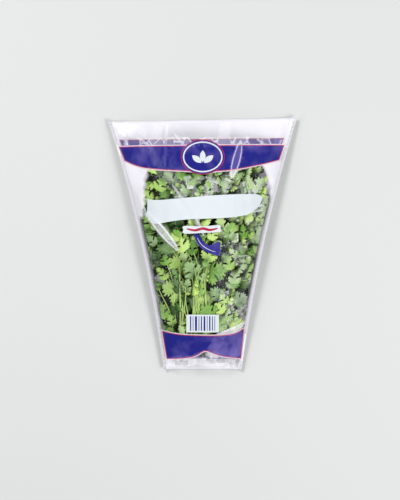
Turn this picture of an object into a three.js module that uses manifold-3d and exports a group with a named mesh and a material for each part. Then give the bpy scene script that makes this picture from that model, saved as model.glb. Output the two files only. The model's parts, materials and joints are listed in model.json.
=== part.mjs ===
import * as THREE from "three";
import { mergeVertices } from "three/addons/utils/BufferGeometryUtils.js";
import Module from "manifold-3d";

// A bunch of fresh coriander in its tapered film sleeve, lying on its back. All lengths are millimetres.
// +Y runs from the cut stems to the sleeve's mouth, +X to the right of the front and +Z up out of it.
// The origin is on the surface that the bunch lies on, under the middle of the sleeve.

const wasm = await Module();
wasm.setup();

// ---- Driving dimensions ----

const sleeve = {
  length: 317.5,
  stemEndHalfWidth: 49,
  middleHalfWidth: 77,
  mouthHalfWidth: 119,
  stemEndHeight: 19,
  mouthHeight: 22,
  bellyRise: 36, // how far the packed middle stands above the line between the two ends
  bellyShift: 1.08, // above 1 moves the belly towards the mouth
  seamHeightShare: 0.3, // height of the side seams in the section's height
  flatShare: 0.75, // the back is flat wherever the section's sine is above this
  crownPower: 1.3, // 1 is an ellipse, more falls straighter to the seams
  wall: 0.8,
  seamWidth: 3, // the sealed margin down each side
  stemEndArch: 5, // how far the front's cut edges draw back over the bulge
  mouthArch: 5,
  mouthSlant: 5, // how far the mouth's left corner stands below its right one
  stations: 13,
  sides: 28,
};

const bunch = {
  stems: 27, // those that find no room are left out
  backStems: 8,
  innerStems: 3, // with fewer leaflets, in the middle of the bunch
  cutEndY: -139,
  cutEndScatter: 5,
  cutEndHalfWidth: 39,
  lowestTipY: -62,
  highestTipY: 80,
  tipHalfWidth: 57,
  tipToFilm: 25, // least distance from a leaf stalk's tip to the sleeve's side
  stemRadius: 1.35, // at the cut end
  tipRadius: 0.75,
  stemSides: 6,
  stemStep: 18, // longest straight run of a stem
  steepest: 0.35, // rise of a stem in its run as it passes over others
  reachPower: 1.4, // above 1 the stems grow shorter sooner towards the front
  cutFollowsTip: 0.35, // how far a cut end stands to the side that its tip is on
  elbowFollowsTip: 0.3,
  tipScatterAlong: 12,
  tipScatterAcross: 16,
  cutScatterAcross: 12,
  elbowScatter: 8,
};

// In the narrow neck above the cut ends the stems lie lower in the sleeve than their share of its height.
const neck = { share: 0.72, fromY: -110, length: 90 };

const leaflet = {
  terminalLength: 36,
  sideLength: 31,
  thickness: 0.92, // measured upright
  stalkWidth: 1.7,
  stalkLength: 10,
  camber: 0.3, // drop of the margin in the leaflet's length, per square of its distance from the middle
  middle: 0.45, // place of the highest point along the leaflet
  pairSpacing: 27, // along the stem, from the tip to the first pair and on to the next
  tipInset: 1.5, // where the terminal leaflet's stalk starts, back from the stem's tip
};

// What one leaflet's form is drawn from: a width about the middle, or a low end and a width.
const leafletRange = {
  size: [0.88, 0.24],
  terminalTurn: 0.9, // turns are in radians from the stem's own direction
  sideTurn: [0.85, 0.5],
  stalk: [0.8, 0.5],
  terminalStalk: 1.15,
  depth: 0.1, // in the height of the room between the back and the front film
  rise: 0.3,
  riseShare: 0.7, // share of its stalk's slope that a blade keeps
  roll: 0.8,
  upturnedShare: 0.25,
  upturnedCamber: -0.5,
  camber: [0.5, 0.8],
};

// Right half of a leaflet of length 1 and full width 1.1, from the shoulder at its stalk to the tip:
// across, along, and the wave of the margin. Three lobes, each cut into blunt teeth.
const halfOutline = [
  [0.05, 0.03, 0],
  [0.35, 0.13, -0.02],
  [0.37, 0.26, 0.02],
  [0.54, 0.36, -0.03],
  [0.44, 0.53, 0.01],
  [0.22, 0.52, 0.03],
  [0.36, 0.77, -0.03],
  [0.2, 0.86, 0.02],
];
const leafTip = [0, 1, -0.03];

const clearance = {
  leaf: 0.45, // between any two stems or blades
  film: 1.4, // below and above the bunch, to the sleeve's inner face
  side: 1.8,
  cell: 1.25, // of the grid that holds the pile's height
  samples: 20, // along each edge of a blade's triangles
};

const tries = { enough: 8, stem: 90, leaflet: 44, drape: 16 };
// Where no full-size leaflet fits. The penalty puts any full-size one first.
const smallLeaflet = { afterTries: 20, share: 0.72, penalty: 1000 };

// ---- Repeatable scatter ----

// The multipliers of an integer hash, its start and the number of values that it can take.
const hash = { start: 2166152099, step: 16777619, mixes: [2246822507, 3266489909], range: 2 ** 32 };

// Steps between the members of sequences that fill 0 to 1 evenly, however many follow one another.
const evenStep = { tip: 0.6180339887, cut: 0.7548776662, reach: 0.569840291 };

// A draw from 0 to 1 that depends only on its whole-number keys.
function draw(...keys) {
  let h = hash.start;
  for (const key of keys) {
    h = Math.imul(h ^ key, hash.step) >>> 0;
    h = (h ^ (h >>> 13)) >>> 0;
  }
  h = Math.imul(h ^ (h >>> 16), hash.mixes[0]) >>> 0;
  h = Math.imul(h ^ (h >>> 13), hash.mixes[1]) >>> 0;
  return ((h ^ (h >>> 16)) >>> 0) / hash.range;
}

// A draw v from 0 to 1 as a value in a range, or as one about nought.
const within = ([low, width], v) => low + width * v;
const about = (width, v) => width * (v - 0.5);
// Member i of an even sequence.
const member = (i, step) => (0.5 + i * step) % 1;

const lerp = (a, b, t) => a + (b - a) * t;
const clamp = (v, low, high) => Math.min(Math.max(v, low), high);
const mean = (list) => list.reduce((sum, v) => sum + v, 0) / list.length;

// ---- The sleeve's shape ----

// Half width, front height and seam height of the section at y, on the outer or the inner face.
function sectionAt(y, inner) {
  const { stemEndHalfWidth: a0, middleHalfWidth: am, mouthHalfWidth: a1 } = sleeve;
  const t = clamp(y / sleeve.length + 0.5, 0, 1);
  const bend = 2 * (a0 + a1 - 2 * am);
  const halfWidth = a0 + (a1 - a0 - bend) * t + bend * t * t;
  const belly = Math.sin(Math.PI * t ** sleeve.bellyShift);
  const height = lerp(sleeve.stemEndHeight, sleeve.mouthHeight, t) + sleeve.bellyRise * belly;
  return {
    halfWidth: halfWidth - (inner ? sleeve.seamWidth : 0),
    height: height - (inner ? sleeve.wall : 0),
    seam: height * sleeve.seamHeightShare,
    floor: inner ? sleeve.wall : 0,
  };
}

// Height of the front or the back film where the section's sine is s: 0 at a seam and 1 in the middle.
const frontHeight = (section, s) => section.seam + (section.height - section.seam) * s ** sleeve.crownPower;
const backHeight = (section, s) =>
  section.floor * Math.min(1, s / sleeve.flatShare) +
  section.seam * Math.max(0, 1 - s / sleeve.flatShare) ** 1.5;

// The lowest and highest z that the bunch may reach at (x, y).
function roomAt(x, y) {
  const section = sectionAt(y, true);
  const across = x / (section.halfWidth - clearance.side);
  if (Math.abs(across) >= 1) return null;
  const s = Math.sqrt(1 - across * across);
  return [backHeight(section, s) + clearance.film, frontHeight(section, s) - clearance.film];
}

function sleeveSolid() {
  // A closed band of unit radius, with its two faces told apart by radius, is turned and then formed.
  const innerRadius = 0.9;
  const profile = [];
  for (let j = 0; j < sleeve.stations; j++)
    profile.push(new THREE.Vector2(1, (j / (sleeve.stations - 1) - 0.5) * sleeve.length));
  const back = profile.map((p) => new THREE.Vector2(innerRadius, p.y)).reverse();
  const band = new THREE.LatheGeometry([...profile, ...back, profile[0].clone()].reverse(), sleeve.sides);
  const position = band.getAttribute("position");
  for (let i = 0; i < position.count; i++) {
    const y = position.getY(i);
    const radius = Math.hypot(position.getX(i), position.getZ(i));
    const cosine = position.getX(i) / radius;
    const sine = -position.getZ(i) / radius;
    const s = Math.abs(sine) < 1e-6 ? 0 : Math.abs(sine);
    const section = sectionAt(y, radius < (1 + innerRadius) / 2);
    const isFront = sine > 0;
    const t = y / sleeve.length + 0.5;
    const arch = isFront ? s * (sleeve.stemEndArch * (1 - t) ** 8 - sleeve.mouthArch * t ** 8) : 0;
    const slant = sleeve.mouthSlant * (0.5 - 0.5 * cosine) * t ** 8;
    const z = isFront || s === 0 ? frontHeight(section, s) : backHeight(section, s);
    position.setXYZ(i, section.halfWidth * cosine, y + arch - slant, z);
  }
  return solidOf(band);
}

// ---- The pile: how high the stems and leaves laid so far reach, seen from above ----

class Pile {
  constructor() {
    this.columns = Math.ceil((2 * sleeve.mouthHalfWidth) / clearance.cell) + 2;
    this.rows = Math.ceil(sleeve.length / clearance.cell) + 2;
    this.tops = new Float64Array(this.columns * this.rows).fill(-1);
  }
  cell(x, y) {
    const column = Math.floor((x + sleeve.mouthHalfWidth) / clearance.cell) + 1;
    const row = Math.floor((y + sleeve.length / 2) / clearance.cell) + 1;
    return row * this.columns + column;
  }
  top(x, y) {
    return this.tops[this.cell(x, y)];
  }
  // Notes that something reaches z here, and in the cells around, so that the next piece keeps clear of it.
  raise(x, y, z) {
    const middle = this.cell(x, y);
    for (let row = -1; row <= 1; row++)
      for (let column = -1; column <= 1; column++) {
        const at = middle + row * this.columns + column;
        if (this.tops[at] < z) this.tops[at] = z;
      }
  }
}

// The lowest and highest place for the middle of something with this half height at (x, y).
function limitsAt(x, y, half, piles) {
  const room = roomAt(x, y);
  if (!room) return null;
  let low = room[0] + half;
  for (const pile of piles) low = Math.max(low, pile.top(x, y) + clearance.leaf + half);
  const high = room[1] - half;
  return low <= high ? [low, high] : null;
}

// A run or a triangle between corners, with its samples: where each one is, its share of each corner, and
// its limits. Returns null where a sample has no room at all.
function patchOf(corners, spots, half, piles) {
  const samples = [];
  for (const [x, y, ...shares] of spots) {
    const limits = limitsAt(x, y, half, piles);
    if (!limits) return null;
    samples.push({ x, y, shares, low: limits[0], high: limits[1] });
  }
  return { corners, samples, half };
}

const heightOf = (sample, corners, z) => corners.reduce((sum, c, n) => sum + sample.shares[n] * z[c], 0);

// The sample where a patch reaches furthest above its limits, or below them, and how far.
function worstOf(patch, z, isAbove) {
  let worst = { off: 0, shares: null };
  for (const sample of patch.samples) {
    const height = heightOf(sample, patch.corners, z);
    const off = isAbove ? height - sample.high : sample.low - height;
    if (off > worst.off) worst = { off, shares: sample.shares };
  }
  return worst;
}

const isClear = (patch, z) => worstOf(patch, z, true).off < 0.05 && worstOf(patch, z, false).off < 0.05;

// Moves the corners' heights z as little as it takes to clear the film above and then all that lies below.
// Held corners stay. Returns whether the patches fit.
function drape(z, patches, held) {
  for (const isAbove of [true, false])
    for (let round = 0; round < tries.drape; round++) {
      const step = z.map(() => 0);
      for (const patch of patches) {
        const { off, shares } = worstOf(patch, z, isAbove);
        if (off < 1e-3) continue;
        const free = patch.corners.map((c, n) => (held.includes(c) ? 0 : shares[n]));
        const scale = off / free.reduce((sum, w) => sum + w * w, 1e-3);
        patch.corners.forEach((c, n) => (step[c] = Math.max(step[c], scale * free[n])));
      }
      step.forEach((off, c) => (z[c] += isAbove ? -off : off));
      if (step.every((off) => off === 0)) break;
    }
  return patches.every((patch) => isClear(patch, z));
}

// Adds laid patches to the pile.
function lay(patches, z, pile) {
  for (const { corners, samples, half } of patches)
    for (const sample of samples) pile.raise(sample.x, sample.y, heightOf(sample, corners, z) + half);
}

// ---- Laying one leafy stem ----

// How far up the sleeve stem i reaches, from 0 to 1. Stems at the back differ from one to the next. The ones
// in front of them grow shorter towards the front, so that their leaves cover the stalks behind.
function reachOf(i) {
  if (i < bunch.backStems) return member(i, evenStep.reach);
  return 1 - ((i - bunch.backStems + 0.5) / (bunch.stems - bunch.backStems)) ** bunch.reachPower;
}

// The key that the draws for a stem start at, above the numbers of its leaflets.
const stemKey = 90;

// The stem's line seen from above, from its cut end to its tip.
function planLine(i, attempt) {
  const r = (use) => draw(i, stemKey + attempt, use);
  const highest = lerp(bunch.lowestTipY, bunch.highestTipY, reachOf(i));
  const tipY = highest + about(bunch.tipScatterAlong, r(1));
  const side = Math.min(bunch.tipHalfWidth, sectionAt(tipY, true).halfWidth - bunch.tipToFilm);
  const u = member(i, evenStep.tip);
  const tipX = clamp((2 * u - 1) * side + about(bunch.tipScatterAcross, r(2)), -side, side);
  const w = member(i, evenStep.cut);
  const follow = bunch.cutFollowsTip;
  const cutMiddle = follow * tipX + (bunch.cutEndHalfWidth - follow * side) * (2 * w - 1);
  const cutX = cutMiddle + about(bunch.cutScatterAcross, r(3));
  const cutY = bunch.cutEndY + bunch.cutEndScatter * (2 * r(4) - 1);
  const elbowX = lerp(cutX, tipX, bunch.elbowFollowsTip) + about(bunch.elbowScatter, r(5));
  const elbowY = lerp(cutY, tipY, 0.5);
  const steps = Math.max(4, Math.round((tipY - cutY) / bunch.stemStep));
  const line = [];
  for (let k = 0; k <= steps; k++) {
    const t = k / steps;
    const [a, b, c] = [(1 - t) ** 2, 2 * t * (1 - t), t * t];
    line.push([a * cutX + b * elbowX + c * tipX, a * cutY + b * elbowY + c * tipY]);
  }
  return line;
}

const stemRadiusAt = (t) => lerp(bunch.stemRadius, bunch.tipRadius, t);

// Spots down the middle and both sides of a run from a to b.
function runSpots(a, b, half) {
  const length = Math.hypot(b[0] - a[0], b[1] - a[1]);
  const side = [(b[1] - a[1]) / length, -(b[0] - a[0]) / length];
  const count = Math.ceil(length);
  const spots = [];
  for (let k = 0; k <= count; k++)
    for (const offset of [-half, 0, half]) {
      const t = k / count;
      spots.push([lerp(a[0], b[0], t) + side[0] * offset, lerp(a[1], b[1], t) + side[1] * offset, 1 - t, t]);
    }
  return spots;
}

// Lays the stem's line over the pile, at its own depth in the bunch where the pile lets it.
function settleStem(i, attempt, share, pile) {
  const line = planLine(i, attempt);
  const steps = line.length - 1;
  const patches = [];
  for (let k = 0; k < steps; k++) {
    const half = stemRadiusAt(k / steps);
    const patch = patchOf([k, k + 1], runSpots(line[k], line[k + 1], half), half, [pile]);
    if (!patch) return null;
    patches.push(patch);
  }
  const z = line.map(([x, y]) => {
    const aboveNeck = clamp((y - neck.fromY) / neck.length, 0, 1);
    return lerp(...roomAt(x, y), share * lerp(neck.share, 1, aboveNeck));
  });
  if (!drape(z, patches, [])) return null;
  for (const order of [1, -1])
    for (let n = 1; n <= steps; n++) {
      const k = order > 0 ? n : steps - n;
      const run = Math.hypot(line[k][0] - line[k - order][0], line[k][1] - line[k - order][1]);
      z[k] = Math.max(z[k], z[k - order] - bunch.steepest * run);
    }
  if (!patches.every((patch) => isClear(patch, z))) return null;
  return { points: line.map(([x, y], k) => [x, y, z[k]]), z, patches, height: mean(z) };
}

// The point of the stem that is a distance back from its tip, and its direction there seen from above.
function pointOnStem(points, back) {
  let left = back;
  for (let k = points.length - 1; k > 0; k--) {
    const [a, b] = [points[k - 1], points[k]];
    const run = Math.hypot(b[0] - a[0], b[1] - a[1]);
    if (left <= run) {
      const at = a.map((v, n) => lerp(b[n], v, left / run));
      return { at, heading: Math.atan2(b[1] - a[1], b[0] - a[0]) };
    }
    left -= run;
  }
  return null;
}

// A leaflet before it is draped, from its foot at the end of the stalk: the middle of the blade and its rim.
function bladePoints(foot, heading, rise, roll, size, camber) {
  const forward = new THREE.Vector3(Math.cos(heading), Math.sin(heading), 0).multiplyScalar(Math.cos(rise));
  forward.z = Math.sin(rise);
  const level = new THREE.Vector3(Math.sin(heading), -Math.cos(heading), 0);
  const upright = new THREE.Vector3().crossVectors(level, forward);
  const side = level.multiplyScalar(Math.cos(roll)).addScaledVector(upright, Math.sin(roll));
  const up = new THREE.Vector3().crossVectors(side, forward);
  const place = (across, along, wave) => {
    const off = across * across + (along - leaflet.middle) ** 2;
    return new THREE.Vector3(...foot)
      .addScaledVector(side, across * size)
      .addScaledVector(forward, along * size)
      .addScaledVector(up, (wave - camber * off) * size);
  };
  const right = halfOutline.map(([x, y, wave]) => place(x, y, wave));
  const left = halfOutline.map(([x, y, wave]) => place(-x, y, wave)).reverse();
  return [place(0, leaflet.middle, 0), ...right, place(...leafTip), ...left];
}

// Spots over a triangle.
function triangleSpots(a, b, c) {
  const n = clearance.samples;
  const spots = [];
  for (let p = 0; p <= n; p++)
    for (let q = 0; q <= n - p; q++) {
      const [u, v] = [p / n, q / n];
      const w = 1 - u - v;
      spots.push([a.x * u + b.x * v + c.x * w, a.y * u + b.y * v + c.y * w, u, v, w]);
    }
  return spots;
}

// Leaflet j of stem i in one attempt, draped over the pile and its own stem's other leaflets, or null.
function leafletAt(i, j, attempt, stem, piles) {
  const r = (use) => draw(i, j, attempt, use);
  const turn = j === 0 ? 0 : j % 2 ? 1 : -1;
  const back = turn === 0 ? leaflet.tipInset : Math.ceil(j / 2) * leaflet.pairSpacing;
  const { at, heading } = pointOnStem(stem.points, back);
  const range = leafletRange;
  const sideways = turn === 0 ? about(range.terminalTurn, r(2)) : turn * within(range.sideTurn, r(2));
  const angle = heading + sideways;
  const stalk = leaflet.stalkLength * within(range.stalk, r(6)) * (turn === 0 ? range.terminalStalk : 1);
  const foot = [at[0] + Math.cos(angle) * stalk, at[1] + Math.sin(angle) * stalk];
  const room = roomAt(...foot);
  if (!room) return null;
  const depth = (i + 0.5) / bunch.stems + about(range.depth, r(7));
  const footZ = at[2] + clamp(lerp(...room, depth) - at[2], -stalk, stalk);
  const isUpturned = r(5) < range.upturnedShare;
  const camber = leaflet.camber * (isUpturned ? range.upturnedCamber : within(range.camber, r(5)));
  const rise = range.riseShare * Math.atan2(footZ - at[2], stalk) + about(range.rise, r(3));
  const isSmall = attempt >= smallLeaflet.afterTries;
  const fullSize = (turn === 0 ? leaflet.terminalLength : leaflet.sideLength) * within(range.size, r(1));
  const size = fullSize * (isSmall ? smallLeaflet.share : 1);
  const blade = bladePoints([...foot, footZ], angle, rise, about(range.roll, r(4)), size, camber);
  const points = [...blade, ...stalkEnds(at, angle)];
  return drapeLeaflet(points, piles, isSmall ? smallLeaflet.penalty : 0);
}

// The two ends of a stalk's root, in the middle of the stem.
function stalkEnds(at, angle) {
  const root = new THREE.Vector3(...at);
  const across = new THREE.Vector3(Math.sin(angle), -Math.cos(angle), 0);
  across.multiplyScalar(leaflet.stalkWidth / 2);
  return [root.clone().sub(across), root.clone().add(across)];
}

// Drapes a leaflet given by its middle, its rim and the two ends of its stalk, which are held in the stem.
function drapeLeaflet(points, piles, penalty) {
  const n = points.length;
  const half = leaflet.thickness / 2;
  const patches = [];
  for (let k = 1; k < n; k++) {
    const next = k === n - 1 ? 1 : k + 1;
    const atStalk = k >= n - 3;
    const spots = triangleSpots(points[0], points[k], points[next]);
    const patch = patchOf([0, k, next], spots, half, atStalk ? [piles.others] : [piles.others, piles.own]);
    if (!patch) return null;
    patches.push({ ...patch, atStalk });
  }
  const z = points.map((p) => p.z);
  if (!drape(z, patches, [n - 2, n - 1])) return null;
  const draped = points.map((p, k) => new THREE.Vector3(p.x, p.y, z[k]));
  return { points: draped, z, patches, height: mean(z) + penalty };
}

// The lowest of the first few attempts that fit, so that the pieces nest as they do in a packed bunch.
function bestOf(most, attemptAt) {
  let best = null;
  let fitting = 0;
  for (let attempt = 0; attempt < most && fitting < tries.enough; attempt++) {
    const found = attemptAt(attempt);
    if (!found) continue;
    fitting += 1;
    if (!best || found.height < best.height) best = found;
  }
  return best;
}

// Lays every leafy stem, from the one against the back film to the one against the front.
function layBunch() {
  const pile = new Pile();
  const laid = [];
  for (let i = 0; i < bunch.stems; i++) {
    const share = (i + 0.5) / bunch.stems;
    const stem = bestOf(tries.stem, (attempt) => settleStem(i, attempt, share, pile));
    if (!stem) continue; // there is no room left for it
    const piles = { others: pile, own: new Pile() };
    const leaflets = [];
    for (let j = 0; j < leafletCount(i, stem); j++) {
      const blade = bestOf(tries.leaflet, (attempt) => leafletAt(i, j, attempt, stem, piles));
      if (!blade) continue;
      lay(blade.patches.filter((patch) => !patch.atStalk), blade.z, piles.own);
      leaflets.push(blade);
    }
    lay(stem.patches, stem.z, pile);
    for (const blade of leaflets) lay(blade.patches, blade.z, pile);
    laid.push({ stem, leaflets });
  }
  return laid;
}

// Long stems at the back carry three pairs of side leaflets, and the others two or one.
function leafletCount(i, { points }) {
  const isInner = i >= bunch.backStems && i < bunch.backStems + bunch.innerStems;
  const length = points.at(-1)[1] - points[0][1];
  if (isInner || length < 3.2 * leaflet.pairSpacing) return 3;
  return i < bunch.backStems && length > 4.5 * leaflet.pairSpacing ? 7 : 5;
}

// ---- Solids ----

function solidOf(geometry) {
  geometry.deleteAttribute("normal");
  geometry.deleteAttribute("uv");
  const merged = mergeVertices(geometry, 1e-4);
  return new wasm.Manifold(new wasm.Mesh({
    numProp: 3,
    vertProperties: merged.getAttribute("position").array,
    triVerts: new Uint32Array(merged.index.array),
  }));
}

// A tapering round stem: a cylinder laid along the stem's line, with each ring of it upright.
function stemSolid(line) {
  const steps = line.length - 1;
  const tube = new THREE.CylinderGeometry(bunch.tipRadius, bunch.stemRadius, 1, bunch.stemSides, steps);
  const points = line.map((p) => new THREE.Vector3(...p));
  const position = tube.getAttribute("position");
  for (let i = 0; i < position.count; i++) {
    const k = Math.round((position.getY(i) + 0.5) * steps);
    const forward = points[Math.min(steps, k + 1)].clone().sub(points[Math.max(0, k - 1)]).normalize();
    const side = new THREE.Vector3(forward.y, -forward.x, 0).normalize();
    const p = points[k].clone().addScaledVector(side, position.getX(i));
    position.setXYZ(i, p.x, p.y, p.z + position.getZ(i));
  }
  return solidOf(tube);
}

// A leaflet on its stalk: a thin disc whose rim is drawn out to the lobed outline and, at the stalk, to the
// middle of the stem.
function leafletSolid({ points }) {
  const [middle, ...rim] = points;
  const disc = new THREE.CylinderGeometry(1, 1, leaflet.thickness, rim.length, 1);
  const position = disc.getAttribute("position");
  for (let i = 0; i < position.count; i++) {
    const [x, y, z] = [position.getX(i), position.getY(i), position.getZ(i)];
    const turn = Math.atan2(x, z) / (2 * Math.PI);
    const k = (Math.round(turn * rim.length) + rim.length) % rim.length;
    const p = Math.hypot(x, z) > 0.5 ? rim[k] : middle;
    position.setXYZ(i, p.x, p.y, p.z + y);
  }
  return solidOf(disc);
}

function meshOf(name, solid, material) {
  const { vertProperties, triVerts } = solid.getMesh();
  const geometry = new THREE.BufferGeometry();
  geometry.setAttribute("position", new THREE.BufferAttribute(vertProperties, 3));
  geometry.setIndex(new THREE.BufferAttribute(triVerts, 1));
  geometry.computeVertexNormals();
  const mesh = new THREE.Mesh(geometry, material);
  mesh.name = name;
  return mesh;
}

// ---- The object ----

const filmMaterial = new THREE.MeshStandardMaterial({
  color: "#eef0f6",
  roughness: 0.15,
  metalness: 0,
  transparent: true,
  opacity: 0.25,
});
const leafMaterials = ["#6f9a3c", "#5c8a3a", "#4c7440"].map(
  (color) => new THREE.MeshStandardMaterial({ color, roughness: 0.55, metalness: 0 }),
);

const object = new THREE.Group();
object.add(meshOf("sleeve_film", sleeveSolid(), filmMaterial));

layBunch().forEach(({ stem, leaflets }, i) => {
  const parts = [stemSolid(stem.points), ...leaflets.map(leafletSolid)];
  const fused = parts.reduce((sum, part) => sum.add(part));
  const name = `leafy_stem_${String(i + 1).padStart(2, "0")}`;
  object.add(meshOf(name, fused, leafMaterials[i % leafMaterials.length]));
});

export default object;
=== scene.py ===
import json
import math
import time
import bmesh
import bpy
import numpy as np
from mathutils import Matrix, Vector, noise
from mathutils.geometry import delaunay_2d_cdt


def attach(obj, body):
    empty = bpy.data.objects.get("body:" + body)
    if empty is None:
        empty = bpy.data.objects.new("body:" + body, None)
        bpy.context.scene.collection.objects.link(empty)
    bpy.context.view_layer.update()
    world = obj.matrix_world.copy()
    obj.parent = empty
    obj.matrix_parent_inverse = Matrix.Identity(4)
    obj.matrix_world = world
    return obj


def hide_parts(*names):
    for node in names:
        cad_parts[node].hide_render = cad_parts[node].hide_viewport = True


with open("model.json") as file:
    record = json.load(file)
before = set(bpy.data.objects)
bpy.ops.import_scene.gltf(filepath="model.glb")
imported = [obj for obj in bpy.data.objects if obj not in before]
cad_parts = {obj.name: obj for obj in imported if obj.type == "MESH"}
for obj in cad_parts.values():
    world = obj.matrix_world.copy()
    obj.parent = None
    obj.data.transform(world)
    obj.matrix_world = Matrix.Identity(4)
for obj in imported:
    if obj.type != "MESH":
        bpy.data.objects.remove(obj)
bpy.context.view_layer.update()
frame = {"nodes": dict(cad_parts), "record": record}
startTime = time.time()
mm = 0.001


def report(text):
    print(f"[{time.time() - startTime:5.1f} s] {text}")


def linear(hexCode, alpha=1.0):
    # the linear light of an sRGB hex code
    parts = [int(hexCode[n:n + 2], 16) / 255 for n in (1, 3, 5)]
    return tuple(v / 12.92 if v <= 0.04045 else ((v + 0.055) / 1.055) ** 2.4 for v in parts) + (alpha,)


def addNode(tree, kind, settings=None, inputs=None):
    # settings are the node's own choices; an input is a value, or the socket that feeds it
    node = tree.nodes.new(kind)
    for name, value in (settings or {}).items():
        setattr(node, name, value)
    for name, value in (inputs or {}).items():
        if isinstance(value, bpy.types.NodeSocket):
            tree.links.new(value, node.inputs[name])
        else:
            node.inputs[name].default_value = value
    return node


def newMaterial(name):
    material = bpy.data.materials.new(name)
    material.use_nodes = True
    material.node_tree.nodes.clear()
    return material, material.node_tree


def smoothStep(t):
    t = np.clip(t, 0, 1)
    return t * t * (3 - 2 * t)


def meshPiece(name, points, faces, materials, faceMaterials=None, attributes=None):
    # a mesh object at the origin, smooth shaded, with point attributes
    mesh = bpy.data.meshes.new(name)
    mesh.from_pydata(np.asarray(points).tolist(), [], [list(face) for face in faces])
    mesh.update()
    for material in materials:
        mesh.materials.append(material)
    if faceMaterials is not None:
        mesh.polygons.foreach_set("material_index", np.asarray(faceMaterials, dtype=np.int32))
    mesh.polygons.foreach_set("use_smooth", np.ones(len(mesh.polygons), dtype=bool))
    for attributeName, values in (attributes or {}).items():
        layer = mesh.attributes.new(attributeName, "FLOAT", "POINT")
        layer.data.foreach_set("value", np.asarray(values, dtype=np.float32))
    piece = bpy.data.objects.new(name, mesh)
    bpy.context.scene.collection.objects.link(piece)
    return piece


# The bunch as the solids hold it. A blade's two faces are this far apart, upright, and so are the top and
# bottom of a stem's rings.
solids = {
    "bladeThickness": 0.92 * mm,
    "stemRadius": 1.35 * mm,
    "tipRadius": 0.75 * mm,
    "pairSpacing": 27 * mm,  # along a stem, from its tip to the first pair of leaflets and on to the next
    "tipInset": 1.5 * mm,
    "middle": 0.45,  # where a leaflet's middle point is along it
    # right half of a leaflet of length 1: across and along
    "halfOutline": [(0.05, 0.03), (0.35, 0.13), (0.37, 0.26), (0.54, 0.36), (0.44, 0.53), (0.22, 0.52),
                    (0.36, 0.77), (0.2, 0.86)],
}
mirroredHalf = [(-x, y) for x, y in reversed(solids["halfOutline"])]
controlPoints = np.array([(0, solids["middle"])] + solids["halfOutline"] + [(0, 1)] + mirroredHalf)
rimCount = len(controlPoints) - 1


def mergedMesh(node):
    # the node's points without doubles, and its triangles
    mesh = frame["nodes"][node].data
    mesh.calc_loop_triangles()
    points = np.empty(len(mesh.vertices) * 3)
    mesh.vertices.foreach_get("co", points)
    corners = np.empty(len(mesh.loop_triangles) * 3, dtype=np.int32)
    mesh.loop_triangles.foreach_get("vertices", corners)
    grid = 1e-6
    cells = np.round(points.reshape(-1, 3) / grid).astype(np.int64)
    keys, index = np.unique(cells, axis=0, return_inverse=True)
    return keys, keys * grid, index.reshape(-1)[corners].reshape(-1, 3)


def uprightPairs(keys, points):
    # blade points, upper to lower, and the rings of the stem as (radius, middle)
    columns = {}
    for i, (x, y, z) in enumerate(keys):
        columns.setdefault((x, y), []).append(i)
    blade, rings = {}, {}
    slack = 0.01 * mm
    for column in columns.values():
        column.sort(key=lambda i: points[i, 2])
        for n, low in enumerate(column):
            for high in column[n + 1:]:
                height = points[high, 2] - points[low, 2]
                if abs(height - solids["bladeThickness"]) < slack:
                    blade[high] = low
                elif 2 * solids["tipRadius"] - slack < height < 2 * solids["stemRadius"] + slack:
                    rings[round(height / slack)] = (height / 2, (points[high] + points[low]) / 2)
    return blade, rings


def fitOutline(ring):
    # how far the ring is from an outline drawn out evenly, in its own size
    flat = controlPoints[1:]
    base = np.column_stack([flat, flat ** 2, flat[:, 0] * flat[:, 1], np.ones(rimCount)])
    solved = np.linalg.lstsq(base, ring, rcond=None)[0]
    size = np.linalg.norm(ring[rimCount // 2] - ring[0])
    return np.abs(base @ solved - ring).max() / size


def readLeafyStem(node):
    # the stem's rings from its cut end to its tip, and each leaflet's middle and rim, halfway through it
    keys, points, faces = mergedMesh(node)
    blade, rings = uprightPairs(keys, points)
    neighbours = {}
    for a, b, c in faces:
        for p, q in ((a, b), (b, c), (c, a)):
            if p in blade and q in blade:
                neighbours.setdefault(p, set()).add(q)
                neighbours.setdefault(q, set()).add(p)
    leaflets = []
    for i, around in neighbours.items():
        if len(around) < rimCount - 1:
            continue
        around = sorted(around, key=lambda j: math.atan2(*(points[j] - points[i])[1::-1]))
        best = None
        for start in range(len(around)):
            ring = points[[around[(start + k) % len(around)] for k in range(rimCount)]]
            miss = fitOutline(ring)
            if best is None or miss < best[0]:
                best = (miss, ring)
        lift = np.array([0, 0, solids["bladeThickness"] / 2])
        leaflets.append({"miss": best[0], "points": np.vstack([points[i], best[1]]) - lift})
    leaflets.sort(key=lambda leaflet: -leaflet["points"][0, 1])
    line = [rings[k] for k in sorted(rings, reverse=True)]
    radii, middles = zip(*line)
    return np.array(middles), np.array(radii), leaflets


stemNodes = sorted(name for name in frame["nodes"] if name.startswith("leafy_stem"))
bunch = {name: readLeafyStem(name) for name in stemNodes}
worstMiss = max(leaflet["miss"] for line, radii, leaflets in bunch.values() for leaflet in leaflets)
leafletCount = sum(len(leaflets) for line, radii, leaflets in bunch.values())
report(f"{len(bunch)} stems with {leafletCount} leaflets, worst miss {worstMiss:.3f}")


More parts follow.
